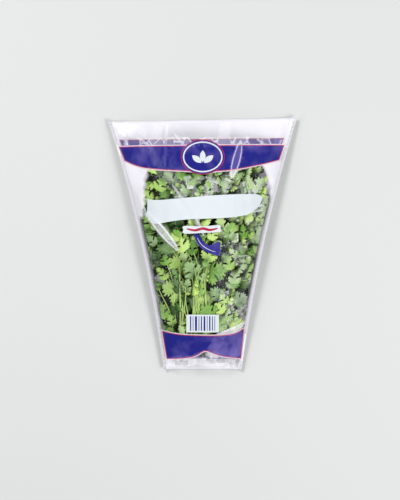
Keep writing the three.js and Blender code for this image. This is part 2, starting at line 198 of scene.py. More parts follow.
# leaflet shapes, flat and of length 1
leafShape = {
    "variants": 4,
    "toothScatter": 0.014,  # how far a tooth or a notch of one variant is from the plain outline
    "fineSteps": (0.04, 0.085, 8),  # between points of the margin, inside it, and the side veins of each half
    "smallSteps": (0.5, 0.34, 3),
    "thickness": 0.3 * mm,
    "rimShare": 0.4,  # of the thickness, at the margin
    "puff": 0.012,  # how far the blade stands up between its veins
    "puffWidth": 0.06,
    "ripple": 0.012,  # of the margin, up and down
    "rippleWidth": 0.08,  # how far in from the margin it reaches
    "rippleCount": (7, 11),
    "seed": 7,
    # right half from the stalk to the tip, in turn up to a tooth and back to a notch
    "halfOutline": [(0.03, 0.0), (0.1, 0.03), (0.24, 0.032), (0.345, 0.08), (0.289, 0.15),
                    (0.395, 0.155), (0.475, 0.202), (0.381, 0.255), (0.495, 0.266), (0.565, 0.325),
                    (0.456, 0.363), (0.537, 0.397), (0.55, 0.467), (0.425, 0.456), (0.456, 0.535),
                    (0.39, 0.586), (0.294, 0.514), (0.162, 0.473), (0.198, 0.567), (0.31, 0.582),
                    (0.396, 0.65), (0.281, 0.691), (0.385, 0.75), (0.366, 0.83), (0.232, 0.789),
                    (0.276, 0.875), (0.21, 0.941), (0.126, 0.869), (0.105, 0.965), (0.05, 1.0)],
    # the same for a young leaflet, which has fewer and deeper cuts
    "youngOutline": [(0.03, 0.0), (0.12, 0.01), (0.3, 0.02), (0.41, 0.06), (0.35, 0.15), (0.5, 0.13),
                     (0.56, 0.22), (0.41, 0.27), (0.57, 0.31), (0.59, 0.41), (0.53, 0.5), (0.4, 0.455),
                     (0.28, 0.44), (0.1, 0.36), (0.16, 0.5), (0.28, 0.545), (0.4, 0.57), (0.43, 0.67),
                     (0.27, 0.715), (0.38, 0.78), (0.34, 0.88), (0.17, 0.84), (0.19, 0.95), (0.1, 1.0)],
    "midrib": [(0, 0.02), (0, 0.3), (0, 0.62), (0, 0.93)],
    "halfVeins": [[(0.0, 0.06), (0.17, 0.17), (0.34, 0.33), (0.47, 0.44)],
                  [(0.0, 0.42), (0.13, 0.56), (0.31, 0.66)],
                  [(0.04, 0.05), (0.18, 0.09), (0.3, 0.1)],
                  [(0.17, 0.17), (0.33, 0.22), (0.43, 0.22)],
                  [(0.34, 0.33), (0.45, 0.34), (0.52, 0.34)],
                  [(0.22, 0.22), (0.31, 0.38), (0.38, 0.5)],
                  [(0.0, 0.6), (0.13, 0.73), (0.31, 0.79)],
                  [(0.0, 0.74), (0.1, 0.83), (0.19, 0.89)]],
}


def splineThrough(points, step, closed=False):
    # a smooth line through the points, with a point about every step
    points = np.asarray(points, dtype=float)
    count = len(points)
    result = []
    for k in range(count if closed else count - 1):
        ids = [k - 1, k, k + 1, k + 2]
        ids = [i % count for i in ids] if closed else [min(max(i, 0), count - 1) for i in ids]
        a, b, c, d = points[ids]
        pieces = max(1, round(np.linalg.norm(c - b) / step))
        for n in range(pieces):
            t = n / pieces
            result.append(0.5 * (2 * b + (c - a) * t + (2 * a - 5 * b + 4 * c - d) * t ** 2
                                 + (3 * b - a - 3 * c + d) * t ** 3))
    if not closed:
        result.append(points[-1])
    return np.array(result)


def distanceTo(points, line):
    # least distance from each point to a line of straight runs
    least = np.full(len(points), np.inf)
    for a, b in zip(line[:-1], line[1:]):
        run = b - a
        t = np.clip((points - a) @ run / max(run @ run, 1e-12), 0, 1)
        least = np.minimum(least, np.linalg.norm(points - a - t[:, None] * run, axis=1))
    return least


def triangulate(outline, lines, spots, epsilon):
    # triangles of the area inside the outline, with every line and spot among their corners
    points = [Vector(p) for p in outline]
    edges = []
    for line in lines:
        first = len(points)
        points += [Vector(p) for p in line]
        edges += [(first + k, first + k + 1) for k in range(len(line) - 1)]
    points += [Vector(p) for p in spots]
    found = delaunay_2d_cdt(points, edges, [list(range(len(outline)))], 1, epsilon)
    rim = [0] * len(outline)
    for new, originals in enumerate(found[3]):
        for original in originals:
            if original < len(outline):
                rim[original] = new
    return np.array([tuple(p) for p in found[0]]), np.array(found[2]), rim


def leafVariant(rng, halfOutline, edgeStep, step, veinCount):
    scatter = leafShape["toothScatter"]
    right = np.array(halfOutline)
    left = right[::-1] * (-1, 1)
    loop = np.vstack([right, [(0, 1.03)], left])
    moved = loop + rng.uniform(-scatter, scatter, loop.shape)
    moved[[0, -1]] = loop[[0, -1]]
    outline = splineThrough(moved, edgeStep, closed=True)
    halfVeins = leafShape["halfVeins"][:veinCount]
    veins = [leafShape["midrib"]] + halfVeins + [[(-x, y) for x, y in vein] for vein in halfVeins]
    veins = [splineThrough(vein, step) for vein in veins]
    rows = np.arange(0, 1.05, step * 0.87)
    columns = np.arange(-0.6, 0.6, step)
    grid = np.array([(x + (k % 2) * step / 2, y) for k, y in enumerate(rows) for x in columns])
    grid = grid + rng.uniform(-0.1, 0.1, grid.shape) * step
    loopLine = np.vstack([outline, outline[:1]])
    near = np.minimum.reduce([distanceTo(grid, line) for line in veins + [loopLine]])
    spots = grid[near > 0.45 * step]
    points, faces, rim = triangulate(outline, veins, spots, 1e-5)
    veinDistance = np.minimum.reduce([distanceTo(points, line) for line in veins])
    between = faces[(veinDistance[faces] < 1e-4).all(axis=1)]
    spots = np.vstack([spots, points[between].mean(axis=1)])
    points, faces, rim = triangulate(outline, veins, spots, 1e-5)
    veinDistance = np.minimum.reduce([distanceTo(points, line) for line in veins])
    rimDistance = distanceTo(points, loopLine)
    return {"points": points, "faces": faces, "rim": rim, "vein": veinDistance, "edge": rimDistance}


def plateTerms(points, centres):
    # terms of a thin plate bent through the centres
    square = ((points[:, None] - centres[None]) ** 2).sum(axis=2)
    bent = square * np.log(square + 1e-12)
    return np.hstack([bent, np.ones((len(points), 1)), points])


def carryMatrix(points):
    # takes the places of a leaflet's control points to those of these points on the same thin plate
    count = len(controlPoints)
    system = np.zeros((count + 3, count + 3))
    system[:count] = plateTerms(controlPoints, controlPoints)
    system[count:, :count] = system[:count, count:].T
    return plateTerms(points, controlPoints) @ np.linalg.inv(system)[:, :count]


leafRandom = np.random.default_rng(leafShape["seed"])
leafVariants = [leafVariant(leafRandom, leafShape["halfOutline"], *leafShape["fineSteps"])
                for k in range(leafShape["variants"])]
smallVariants = [leafVariant(leafRandom, leafShape["youngOutline"], *leafShape["smallSteps"])
                 for k in range(leafShape["variants"])]
for variant in leafVariants + smallVariants:
    variant["carry"] = carryMatrix(variant["points"])
report(f"leaflets of {[len(v['faces']) for v in leafVariants + smallVariants]} triangles a side")


def normalsOf(points, faces):
    corners = points[faces]
    across = np.cross(corners[:, 1] - corners[:, 0], corners[:, 2] - corners[:, 0])
    normals = np.zeros_like(points)
    for k in range(3):
        np.add.at(normals, faces[:, k], across)
    return normals / np.maximum(np.linalg.norm(normals, axis=1, keepdims=True), 1e-12)


def paintedShadeOf(points):
    # from 0 close under the film to 1 where hardly any light comes
    return smoothStep((roofAndGround(points[:, 0], points[:, 1])[0] - points[:, 2]) / bunchLook["paintedShadeDepth"])


def leafBlade(leaflet, variant, rng):
    # a closed thin blade on the leaflet's control points
    middle = keptInside(variant["carry"] @ leaflet["points"])
    size = np.linalg.norm(leaflet["points"][rimCount // 2 + 1] - middle[variant["rim"][0]])
    normals = normalsOf(middle, variant["faces"])
    puff = leafShape["puff"] * (1 - np.exp(-(variant["vein"] / leafShape["puffWidth"]) ** 2))
    edge = np.exp(-variant["edge"] / leafShape["rippleWidth"])
    angle = np.arctan2(variant["points"][:, 0], variant["points"][:, 1] - 0.3)
    turns = rng.uniform(*leafShape["rippleCount"])
    ripple = leafShape["ripple"] * edge * np.sin(turns * angle + rng.uniform(0, 6))
    middle = keptInside(middle + normals * ((puff + ripple) * size)[:, None])
    half = leafShape["thickness"] / 2 * np.where(variant["edge"] < 1e-4, leafShape["rimShare"], 1)
    upper, lower = middle + normals * half[:, None], middle - normals * half[:, None]
    count = len(middle)
    rim = variant["rim"]
    walls = []
    for k, a in enumerate(rim):
        b = rim[(k + 1) % len(rim)]
        walls += [(a + count, b + count, b), (a + count, b, a)]
    faces = np.vstack([variant["faces"], variant["faces"][:, ::-1] + count, walls])
    upturned = rng.random() < bunchLook["upturnedShare"]
    x = leaflet["points"][0, 0]
    milky = rng.random() ** 1.5 * np.interp(x, *bunchLook["milkyAcross"])
    tone = rng.random() + np.interp(x, *bunchLook["toneAcross"])
    under = np.repeat([1.0, 0.0] if upturned else [0.0, 1.0], count)
    return {
        "points": np.vstack([upper, lower]),
        "faces": faces,
        "under": under,
        "vein": np.tile(variant["vein"], 2),
        "tone": np.full(2 * count, tone),
        "milky": np.full(2 * count, milky),
        # painted shade, carried to the material as the deep attribute
        "deep": np.tile(paintedShadeOf(middle), 2),
        "size": size,
    }


# the lofted tube of the solid sleeve, in millimetres
sleeve = {
    "length": 317.5,
    "halfWidths": (49, 77, 119),  # at the stem end, in the middle and at the mouth
    "heights": (19, 22),
    "bellyRise": 36,
    "bellyShift": 1.08,
    "seamShare": 0.3,
    "flatShare": 0.75,
    "crownPower": 1.3,
    "seamWidth": 3,
    "stemEndArch": 5,
    "mouthArch": 5,
    "mouthSlant": 5,
    "sheet": 0.14,  # a film is thinner, and this is the least that keeps its two faces apart
    "weldGap": 0.2,
    "backInkLift": 0.6,  # the back's ink looks paler, because its other side is seen
    # whiteness near the seams: where it starts, over what width it comes, and how strong it is
    "weldWhite": ((0.985, 0.02, 0.9), (0.78, 0.16, 0.6)),
    "halfSpan": 80,  # of the flat sheet that is cut into triangles, without the welds
    "gridStep": 3.2,
    "fineStep": 1.3,
}


def sectionAt(y):
    t = np.clip(y / sleeve["length"] + 0.5, 0, 1)
    a, b, c = sleeve["halfWidths"]
    bend = 2 * (a + c - 2 * b)
    halfWidth = a + (c - a - bend) * t + bend * t * t - sleeve["seamWidth"]
    belly = np.sin(np.pi * t ** sleeve["bellyShift"])
    height = sleeve["heights"][0] * (1 - t) + sleeve["heights"][1] * t + sleeve["bellyRise"] * belly
    return halfWidth, height, height * sleeve["seamShare"]


def endShift(y, share, sine, isFront):
    # how far the cut edges stand back from square: arched over the bulge, and slanted at the mouth
    t = y / sleeve["length"] + 0.5
    arch = sine * (sleeve["stemEndArch"] * (1 - t) ** 8 - sleeve["mouthArch"] * t ** 8) if isFront else 0
    return arch - sleeve["mouthSlant"] * (0.5 - 0.5 * share) * t ** 8


def filmPlace(flat, isFront):
    # where points of the flat sheet are on the sleeve: across from weld to weld, along from end to end
    across, along = flat[:, 0] / sleeve["halfSpan"], flat[:, 1]
    turn = np.clip(across, -1, 1) * math.pi / 2
    share, sine = np.sin(turn), np.cos(turn)
    halfWidth, height, seam = sectionAt(along)
    x = halfWidth * share + (across - np.clip(across, -1, 1)) * sleeve["halfSpan"]
    if isFront:
        z = seam + (height - seam) * sine ** sleeve["crownPower"] + sleeve["weldGap"] / 2
    else:
        z = seam * np.maximum(0, 1 - sine / sleeve["flatShare"]) ** 1.5 + sleeve["sheet"]
        z = np.minimum(z, seam - sleeve["weldGap"] / 2)
    return np.column_stack([x, along + endShift(along, share, sine, isFront), z])


# how far the leaves reach, which is where the two sheets part, and how white the film is past them
fill = {"along": (-112, -90, -48, -28, 2, 18, 60, 78, 98, 108),
        "left": (-51, -59, -66, -70, -75, -76, -71, -69, -62, -48),
        "right": (52, 56, 62, 67, 78, 82, 83, 82, 70, 50),
        "ends": (-114, 107),
        "front": {"side": 0.78, "end": 0.04, "start": 3, "blur": 4, "ragged": 5},
        "back": {"side": 0.995, "end": 0.82, "start": -7, "blur": 5, "ragged": 0},
        "raggedLength": 9,
        "mouthOpen": (103, 6)}  # towards the mouth no leaf parts the sheets: from where, and over what length


def fillSpan(along):
    return [np.interp(along, fill["along"], fill[side]) for side in ("left", "right")]


# young leaflets on thin stalks, wherever the bunch has an open gap under the film
filling = {
    "tries": 9000,
    "sizes": (9 * mm, 24 * mm),
    "slimness": (0.5, 0.95),
    "cell": 2.5 * mm,
    "reach": 0.16,  # of the grid, each way
    "clearance": 0.9 * mm,  # above what lies below
    "filmGap": 1.8 * mm,
    "sideGap": 2.5,
    "sideSoftness": 3 * mm,
    "depths": (1 * mm, 13 * mm),  # under the film, if nothing lies there
    "lowShare": 0.3,  # leaflets that lie deep down
    "lowDepths": (14 * mm, 34 * mm),
    "gapDepth": 6 * mm,  # a spot this far below the film is open
    "gapShare": 0.35,
    "discShare": 0.42,  # radius of the spot that a leaflet needs, in its size
    "restQuantile": 0.75,  # of the heights under a leaflet, on which it rests
    "headingScatter": 0.45,
    "longestStalk": 50 * mm,
    "stalkRadius": 0.4 * mm,
    # leaflets on long stalks that run up close under the film: where they are, and where their stalks start
    "longFrom": (-58, 22, -72, 6),
    "longShare": 0.9,
    "longStart": (-122 * mm, -100 * mm),
    "longLean": 0.72,  # of a leaflet's x, where its stalk starts
    "longRadius": 0.8 * mm,
    "longDepth": 2 * mm,
    "tilt": 0.55,
    "cup": 0.4,
    "fold": 0.5,  # how far the two halves of a leaflet stand up or hang down
    "openStems": (-50, 4, -112, -62),  # x and y in millimetres of a place where stems stay in sight
    "openShare": 0.97,
    "seed": 5,
}


def roofAndGround(x, y):
    # the room between the two sheets, in metres
    halfWidth, height, seam = sectionAt(y / mm)
    sine = np.sqrt(np.clip(1 - (x / mm / halfWidth) ** 2, 0, 1))
    roof = seam + (height - seam) * sine ** sleeve["crownPower"]
    ground = seam * np.maximum(0, 1 - sine / sleeve["flatShare"]) ** 1.5 + sleeve["sheet"]
    return roof * mm - filling["filmGap"], ground * mm + filling["clearance"]


def layDown(pile, points):
    cells = np.floor((points[:, :2] + filling["reach"]) / filling["cell"]).astype(int)
    np.maximum.at(pile, (cells[:, 0], cells[:, 1]), points[:, 2])


def keptInside(points):
    # the same points, moved between the two sheets where they stick out
    x, y, z = points.T
    most = (sectionAt(y / mm)[0] - filling["sideGap"]) * mm
    soft = filling["sideSoftness"]
    over = np.maximum(np.abs(x) - (most - soft), 0)
    x = np.sign(x) * (np.abs(x) - over + soft * (1 - np.exp(-over / soft)))
    roof, ground = roofAndGround(x, y)
    return np.column_stack([x, y, np.clip(z, ground, np.maximum(roof, ground))])


def smallLeaflet(x, y, z, size, heading, rng):
    flat = (controlPoints - (0, solids["middle"])) * size * (rng.uniform(*filling["slimness"]), 1)
    right = np.array([heading[1], -heading[0]])
    plan = flat[:, :1] * right + flat[:, 1:] * heading
    slope = rng.normal(0, filling["tilt"], 2)
    away = (flat ** 2).sum(axis=1) / size
    rise = plan @ slope - filling["cup"] * away * rng.uniform(-0.6, 1)
    rise = rise + 0.05 * size * np.sin(flat[:, 0] / size * 9)
    rise += np.abs(flat[:, 0]) * rng.normal(0, filling["fold"])
    return keptInside(np.column_stack([plan + (x, y), z + rise]))


def fillGaps():
    rng = np.random.default_rng(filling["seed"])
    count = round(2 * filling["reach"] / filling["cell"])
    centres = (np.arange(count) + 0.5) * filling["cell"] - filling["reach"]
    across, along = np.meshgrid(centres, centres, indexing="ij")
    pile = roofAndGround(across, along)[1]
    stemPoints, stemRuns, owners = [], [], []
    for name, (line, radii, leaflets) in bunch.items():
        fine = splineThrough(line, 2 * mm)
        stemPoints.append(fine)
        stemRuns.append(np.gradient(fine, axis=0))
        owners += [name] * len(fine)
        layDown(pile, fine)
        for leaflet in leaflets:
            layDown(pile, leafVariants[0]["carry"] @ leaflet["points"])
    stemPoints, stemRuns = np.vstack(stemPoints), np.vstack(stemRuns)
    placed = 0
    for k in range(filling["tries"]):
        y = rng.uniform(*fill["ends"]) * mm
        x = rng.uniform(*fillSpan(y / mm)) * mm
        size = rng.uniform(*filling["sizes"])
        disc = np.hypot(across - x, along - y) < filling["discShare"] * size
        roof, ground = roofAndGround(x, y)
        if (pile[disc] < roof - min(filling["gapDepth"], (roof - ground) / 2)).mean() < filling["gapShare"]:
            continue
        depths = filling["lowDepths" if k < filling["lowShare"] * filling["tries"] else "depths"]
        rest = np.quantile(pile[disc], filling["restQuantile"]) + filling["clearance"]
        z = max(rest, roof - rng.uniform(*depths))
        below = stemPoints[:, 1] < y - 0.2 * size
        if z > roof + filling["clearance"] or not below.any():
            continue
        x0, x1, y0, y1 = filling["openStems"]
        isOpen = x0 < x / mm < x1 and y0 < y / mm < y1 and z > roof - 20 * mm
        if isOpen and rng.random() < filling["openShare"]:
            continue
        steps = stemPoints[below] - (x, y, z)
        nearest = np.nonzero(below)[0][np.linalg.norm(steps * (1, 0.8, 0.6), axis=1).argmin()]
        root, run = stemPoints[nearest], stemRuns[nearest]
        away = np.array([x, y]) - root[:2]
        if np.linalg.norm(away) > filling["longestStalk"]:
            continue
        x0, x1, y0, y1 = filling["longFrom"]
        isHere = x0 < x / mm < x1 and y0 < y / mm < y1 and z > roof - 12 * mm
        isLong = isHere and placed % 10 < 10 * filling["longShare"]
        if isLong:
            low, high = filling["longStart"]
            isStart = (stemPoints[:, 1] > low) & (stemPoints[:, 1] < high)
            off = np.abs(stemPoints[isStart, 0] - x * filling["longLean"])
            nearest = np.nonzero(isStart)[0][off.argmin()]
            root, run = stemPoints[nearest], stemRuns[nearest]
        heading = away / np.linalg.norm(away) + (0, 0.6) + rng.normal(0, filling["headingScatter"], 2)
        points = smallLeaflet(x, y, z, size, heading / np.linalg.norm(heading), rng)
        leaflet = {"points": points, "root": root, "run": run / np.linalg.norm(run), "isLong": isLong}
        bunch[owners[nearest]][2].append(leaflet)
        layDown(pile, leafVariants[0]["carry"] @ points)
        placed += 1
    return placed


report(f"{fillGaps()} small leaflets")


# stems, leaf stalks and what differs from leaflet to leaflet
bunchLook = {
    "upturnedShare": 0.25,  # leaflets that show their paler underside
    "milkyAcross": ((-60 * mm, 0, 30 * mm), (0.12, 0.35, 1.0)),  # how milky, from left to right
    "toneAcross": ((-60 * mm, 60 * mm), (-0.03, 0.37)),  # how much lighter the leaves get, from left to right
    # painted shade: how far under the film leaves and stems reach their full painted darkness
    "paintedShadeDepth": 12 * mm,
    "stemSides": 9,
    "stemStep": 3 * mm,
    "stalkRadius": 0.55 * mm,
    "stalkTipRadius": 0.38 * mm,
    "stalkIntoBlade": 0.1,  # how far a stalk runs on into its blade, in the blade's length
    "cutEndFlare": 1.06,
    "seed": 11,
}


def stemTree():
    # sweeps a round profile along every line of the mesh, as wide as the line's own radius attribute says
    tree = bpy.data.node_groups.new("stemSweep", "GeometryNodeTree")
    for name, kind in (("Lines", "Geometry"), ("Sides", "Int"), ("Width", "Float"), ("Material", "Material")):
        tree.interface.new_socket(name=name, in_out="INPUT", socket_type="NodeSocket" + kind)
    tree.interface.new_socket(name="Stems", in_out="OUTPUT", socket_type="NodeSocketGeometry")
    given = addNode(tree, "NodeGroupInput").outputs
    lines = addNode(tree, "GeometryNodeMeshToCurve", inputs={"Mesh": given["Lines"]})
    own = addNode(tree, "GeometryNodeInputNamedAttribute", {"data_type": "FLOAT"}, {"Name": "stemRadius"})
    width = addNode(tree, "ShaderNodeMath", {"operation": "MULTIPLY"},
                    {0: own.outputs["Attribute"], 1: given["Width"]})
    profile = addNode(tree, "GeometryNodeCurvePrimitiveCircle",
                      inputs={"Resolution": given["Sides"], "Radius": 1.0})
    swept = addNode(tree, "GeometryNodeCurveToMesh",
                    inputs={"Curve": lines.outputs[0], "Profile Curve": profile.outputs[0],
                            "Scale": width.outputs[0], "Fill Caps": True})
    smooth = addNode(tree, "GeometryNodeSetShadeSmooth", inputs={0: swept.outputs[0]})
    real = addNode(tree, "GeometryNodeRealizeInstances", inputs={0: smooth.outputs[0]})
    done = addNode(tree, "GeometryNodeSetMaterial",
                   inputs={"Geometry": real.outputs[0], "Material": given["Material"]})
    addNode(tree, "NodeGroupOutput", inputs={"Stems": done.outputs[0]})
    return tree


def setInput(modifier, name, value):
    for item in modifier.node_group.interface.items_tree:
        if item.item_type == "SOCKET" and item.in_out == "INPUT" and item.name == name:
            modifier[item.identifier] = value


def evaluated(carrier):
    # the plain mesh of an object after its modifiers
    graph = bpy.context.evaluated_depsgraph_get()
    mesh = bpy.data.meshes.new_from_object(carrier.evaluated_get(graph))
    carrier.modifiers.clear()
    return mesh


def alongLine(line, back):
    # the point a distance back from a line's end, and the line's direction there
    left = back
    for k in range(len(line) - 1, 0, -1):
        run = line[k] - line[k - 1]
        length = np.linalg.norm(run[:2])
        if left <= length:
            return line[k] - run * (left / length), run / np.linalg.norm(run)
        left -= length
    return line[0], (line[1] - line[0]) / np.linalg.norm(line[1] - line[0])


def stalkRoot(line, foot, isTip):
    # where on the stem the stalk of a blade with this foot starts
    backs = [solids["tipInset"]] if isTip else [solids["pairSpacing"] * n for n in (1, 2, 3)]
    return min((alongLine(line, back) for back in backs), key=lambda found: np.linalg.norm(found[0] - foot))


def stemLines(line, radii, leaflets):
    # the stem and its stalks as lines with radii, and how far up the bunch each point is
    fine = splineThrough(line, bunchLook["stemStep"])
    share = np.linspace(0, 1, len(fine))
    width = np.interp(share, np.linspace(0, 1, len(radii)), radii)
    width[0] *= bunchLook["cutEndFlare"]
    lines = [(fine, width)]
    large = [leaflet for leaflet in leaflets if "root" not in leaflet]
    tipFoot = min(large, key=lambda leaflet: np.linalg.norm(leaflet["foot"] - line[-1]))
    for leaflet in leaflets:
        foot, inward = leaflet["foot"], leaflet["inward"]
        thick = bunchLook["stalkRadius"]
        if "root" in leaflet:
            root, direction, thick = leaflet["root"], leaflet["run"], filling["stalkRadius"]
        else:
            root, direction = stalkRoot(line, foot, leaflet is tipFoot)
        isLong = leaflet.get("isLong", False)
        reach = np.linalg.norm(foot - root)
        t = np.linspace(0, 1, 15 if isLong else 7)[:, None]
        a, b, c, d = root, root + direction * reach * 0.35, foot - inward * reach * 0.35, foot
        curve = (1 - t) ** 3 * a + 3 * t * (1 - t) ** 2 * b + 3 * t ** 2 * (1 - t) * c + t ** 3 * d
        roof, ground = roofAndGround(curve[:, 0], curve[:, 1])
        if isLong:
            thick = filling["longRadius"]
            curve[:, 2] += (roof - filling["longDepth"] - curve[:, 2]) * np.sin(np.pi * t[:, 0]) ** 0.5
        curve[:, 2] = np.maximum(curve[:, 2], ground)  # a stalk stays clear of the back film
        end = foot + inward * bunchLook["stalkIntoBlade"] * leaflet["size"]
        curve = np.vstack([curve, (foot + end) / 2, end])
        taper = np.linspace(thick, bunchLook["stalkTipRadius"], len(curve))
        taper[-1] *= 0.45
        lines.append((curve, taper))
    return lines


def joined(parts):
    # one mesh's points and faces from several, with faces of any number of corners
    points, faces, first = [], [], 0
    for part in parts:
        points.append(part["points"])
        faces += [[i + first for i in face] for face in part["faces"]]
        first += len(part["points"])
    return np.vstack(points), faces


def meshPart(mesh):
    points = np.empty(len(mesh.vertices) * 3)
    mesh.vertices.foreach_get("co", points)
    return {"points": points.reshape(-1, 3), "faces": [list(p.vertices) for p in mesh.polygons]}


def leafyStemPiece(node, tree, leafMaterial, stemMaterial, number):
    rng = np.random.default_rng([bunchLook["seed"], number])
    line, radii, leaflets = bunch[node]
    blades = []
    for leaflet in leaflets:
        variants = smallVariants if "root" in leaflet else leafVariants
        variant = variants[int(rng.integers(len(variants)))]
        blade = leafBlade(leaflet, variant, rng)
        base = variant["carry"] @ leaflet["points"]
        foot = base[variant["rim"][0]] * 0.5 + base[variant["rim"][-1]] * 0.5
        inward = leaflet["points"][0] - foot
        leaflet.update(foot=foot, inward=inward / np.linalg.norm(inward), size=blade["size"])
        blades.append(blade)
    edges, points, radius, first = [], [], [], 0
    for curve, width in stemLines(line, radii, leaflets):
        points.append(curve)
        radius.append(width)
        edges += [(first + k, first + k + 1) for k in range(len(curve) - 1)]
        first += len(curve)
    mesh = bpy.data.meshes.new(node + "_lines")
    mesh.from_pydata(np.vstack(points).tolist(), edges, [])
    layer = mesh.attributes.new("stemRadius", "FLOAT", "POINT")
    layer.data.foreach_set("value", np.hstack(radius).astype(np.float32))
    carrier = bpy.data.objects.new(node + "_lines", mesh)
    bpy.context.scene.collection.objects.link(carrier)
    sweep = carrier.modifiers.new("sweep", "NODES")
    sweep.node_group = tree
    setInput(sweep, "Sides", bunchLook["stemSides"])
    setInput(sweep, "Width", 1.0)
    setInput(sweep, "Material", stemMaterial)
    swept = meshPart(evaluated(carrier))
    bpy.data.objects.remove(carrier)
    points, faces = joined([swept] + blades)
    stemCount, bladeFaces = len(swept["points"]), sum(len(b["faces"]) for b in blades)
    attributes = {name: np.hstack([np.zeros(stemCount)] + [b[name] for b in blades])
                  for name in ("under", "vein", "tone", "milky")}
    # the stem's painted shade, by how far under the film it lies
    attributes["deep"] = np.hstack([paintedShadeOf(swept["points"])] + [b["deep"] for b in blades])
    isStem = np.zeros(len(faces), dtype=np.int32)
    isStem[:len(faces) - bladeFaces] = 1
    return meshPiece(node + "_fresh", points, faces, [leafMaterial, stemMaterial], isStem, attributes)


leafFinish = {
    # fresh coriander leaf: thin, soft, with a faint wax; the underside is paler and more matt
    "dark": "#264f1b",
    "middle": "#71a23e",
    "light": "#c2e07a",
    "vein": "#cfe498",
    "underside": "#a9c295",
    "milky": "#b4c4ae",
    # painted shade: the dark colour of leaves far under the film, where little light reaches
    "deep": "#0e2407",
    "paintedShadeShare": 0.96,
    "mottle": 7,  # patches per 10 mm
    "veinWidth": 0.016,
    "veinShare": 0.24,
    "patches": 45,  # per metre, so about 22 mm wide
    "crinkles": 260,  # per metre, so about 4 mm wide
    "roughness": 0.42,
    "through": 0.14,  # share of light that passes through the blade
}
stemFinish = {
    # the stem is juicy and smooth, paler towards the cut end
    "pale": "#bcd383",
    "green": "#8fb651",
    # painted shade: the dark colour of stems far under the film, where little light reaches
    "deep": "#2b431a",
    "paintedShadeShare": 0.7,
    "ribs": 900,  # per metre round the stem, so about 1 mm apart
    "ribStretch": 0.12,  # they run along the stem
    "roughness": 0.38,
}


def leafMaterial(name, shift):
    # shift moves the whole leaf towards light (above 0) or dark
    material, tree = newMaterial(name)
    place = addNode(tree, "ShaderNodeTexCoord").outputs["Object"]

    def read(attribute):
        return addNode(tree, "ShaderNodeAttribute", {"attribute_name": attribute}).outputs["Fac"]

    mottle = addNode(tree, "ShaderNodeTexNoise", inputs={"Vector": place, "Scale": leafFinish["mottle"] * 100,
                                                         "Detail": 3.0, "Roughness": 0.6}).outputs["Fac"]
    patches = addNode(tree, "ShaderNodeTexNoise",
                      inputs={"Vector": place, "Scale": leafFinish["patches"]}).outputs["Fac"]
    tone = addNode(tree, "ShaderNodeMath", {"operation": "MULTIPLY_ADD"},
                   {0: read("tone"), 1: 0.8, 2: shift - 0.1})
    tone = addNode(tree, "ShaderNodeMath", {"operation": "MULTIPLY_ADD"},
                   {0: patches, 1: 0.5, 2: tone.outputs[0]})
    tone = addNode(tree, "ShaderNodeMath", {"operation": "MULTIPLY_ADD", "use_clamp": True},
                   {0: mottle, 1: 0.3, 2: tone.outputs[0]})
    ramp = addNode(tree, "ShaderNodeValToRGB", inputs={"Fac": tone.outputs[0]})
    for stop, position, ink in zip(ramp.color_ramp.elements, (0.25, 0.95), ("dark", "light")):
        stop.position = position
        stop.color = linear(leafFinish[ink])
    ramp.color_ramp.elements.new(0.6).color = linear(leafFinish["middle"])
    isVein = addNode(tree, "ShaderNodeMapRange", {"interpolation_type": "SMOOTHSTEP"},
                     {"Value": read("vein"), "From Min": 0.0, "From Max": leafFinish["veinWidth"],
                      "To Min": leafFinish["veinShare"], "To Max": 0.0})
    veined = addNode(tree, "ShaderNodeMix", {"data_type": "RGBA"},
                     {"Factor": isVein.outputs[0], 6: ramp.outputs["Color"], 7: linear(leafFinish["vein"])})
    underShare = addNode(tree, "ShaderNodeMath", {"operation": "MULTIPLY"}, {0: read("under"), 1: 0.6})
    turned = addNode(tree, "ShaderNodeMix", {"data_type": "RGBA"},
                     {"Factor": underShare.outputs[0], 6: veined.outputs[2],
                      7: linear(leafFinish["underside"])})
    # a leaf that clings to the film looks milky in patches
    cling = addNode(tree, "ShaderNodeMapRange", {"interpolation_type": "SMOOTHSTEP"},
                    {"Value": patches, "From Min": 0.35, "From Max": 0.6, "To Min": 0.25, "To Max": 1.0})
    milkShare = addNode(tree, "ShaderNodeMath", {"operation": "MULTIPLY"},
                        {0: read("milky"), 1: cling.outputs[0]})
    pressed = addNode(tree, "ShaderNodeMix", {"data_type": "RGBA"},
                      {"Factor": milkShare.outputs[0], 6: turned.outputs[2], 7: linear(leafFinish["milky"])})
    # painted shade: leaves far under the film are mixed towards the dark deep colour
    paintedShadeShare = addNode(tree, "ShaderNodeMath", {"operation": "MULTIPLY"},
                        {0: read("deep"), 1: leafFinish["paintedShadeShare"]})
    colour = addNode(tree, "ShaderNodeMix", {"data_type": "RGBA"},
                     {"Factor": paintedShadeShare.outputs[0], 6: pressed.outputs[2], 7: linear(leafFinish["deep"])})
    crinkle = addNode(tree, "ShaderNodeTexNoise",
                      inputs={"Vector": place, "Scale": leafFinish["crinkles"], "Detail": 3.0})
    bump = addNode(tree, "ShaderNodeBump", inputs={"Height": crinkle.outputs["Fac"], "Strength": 0.7,
                                                   "Distance": 1.6 * mm})
    blade = addNode(tree, "ShaderNodeBsdfPrincipled",
                    inputs={"Base Color": colour.outputs[2], "Roughness": leafFinish["roughness"],
                            "Specular IOR Level": 0.22, "Normal": bump.outputs[0]})
    glow = addNode(tree, "ShaderNodeBsdfTranslucent", inputs={"Color": colour.outputs[2]})
    mixed = addNode(tree, "ShaderNodeMixShader", inputs={0: leafFinish["through"], 1: blade.outputs[0],
                                                         2: glow.outputs[0]})
    addNode(tree, "ShaderNodeOutputMaterial", inputs={"Surface": mixed.outputs[0]})
    return material


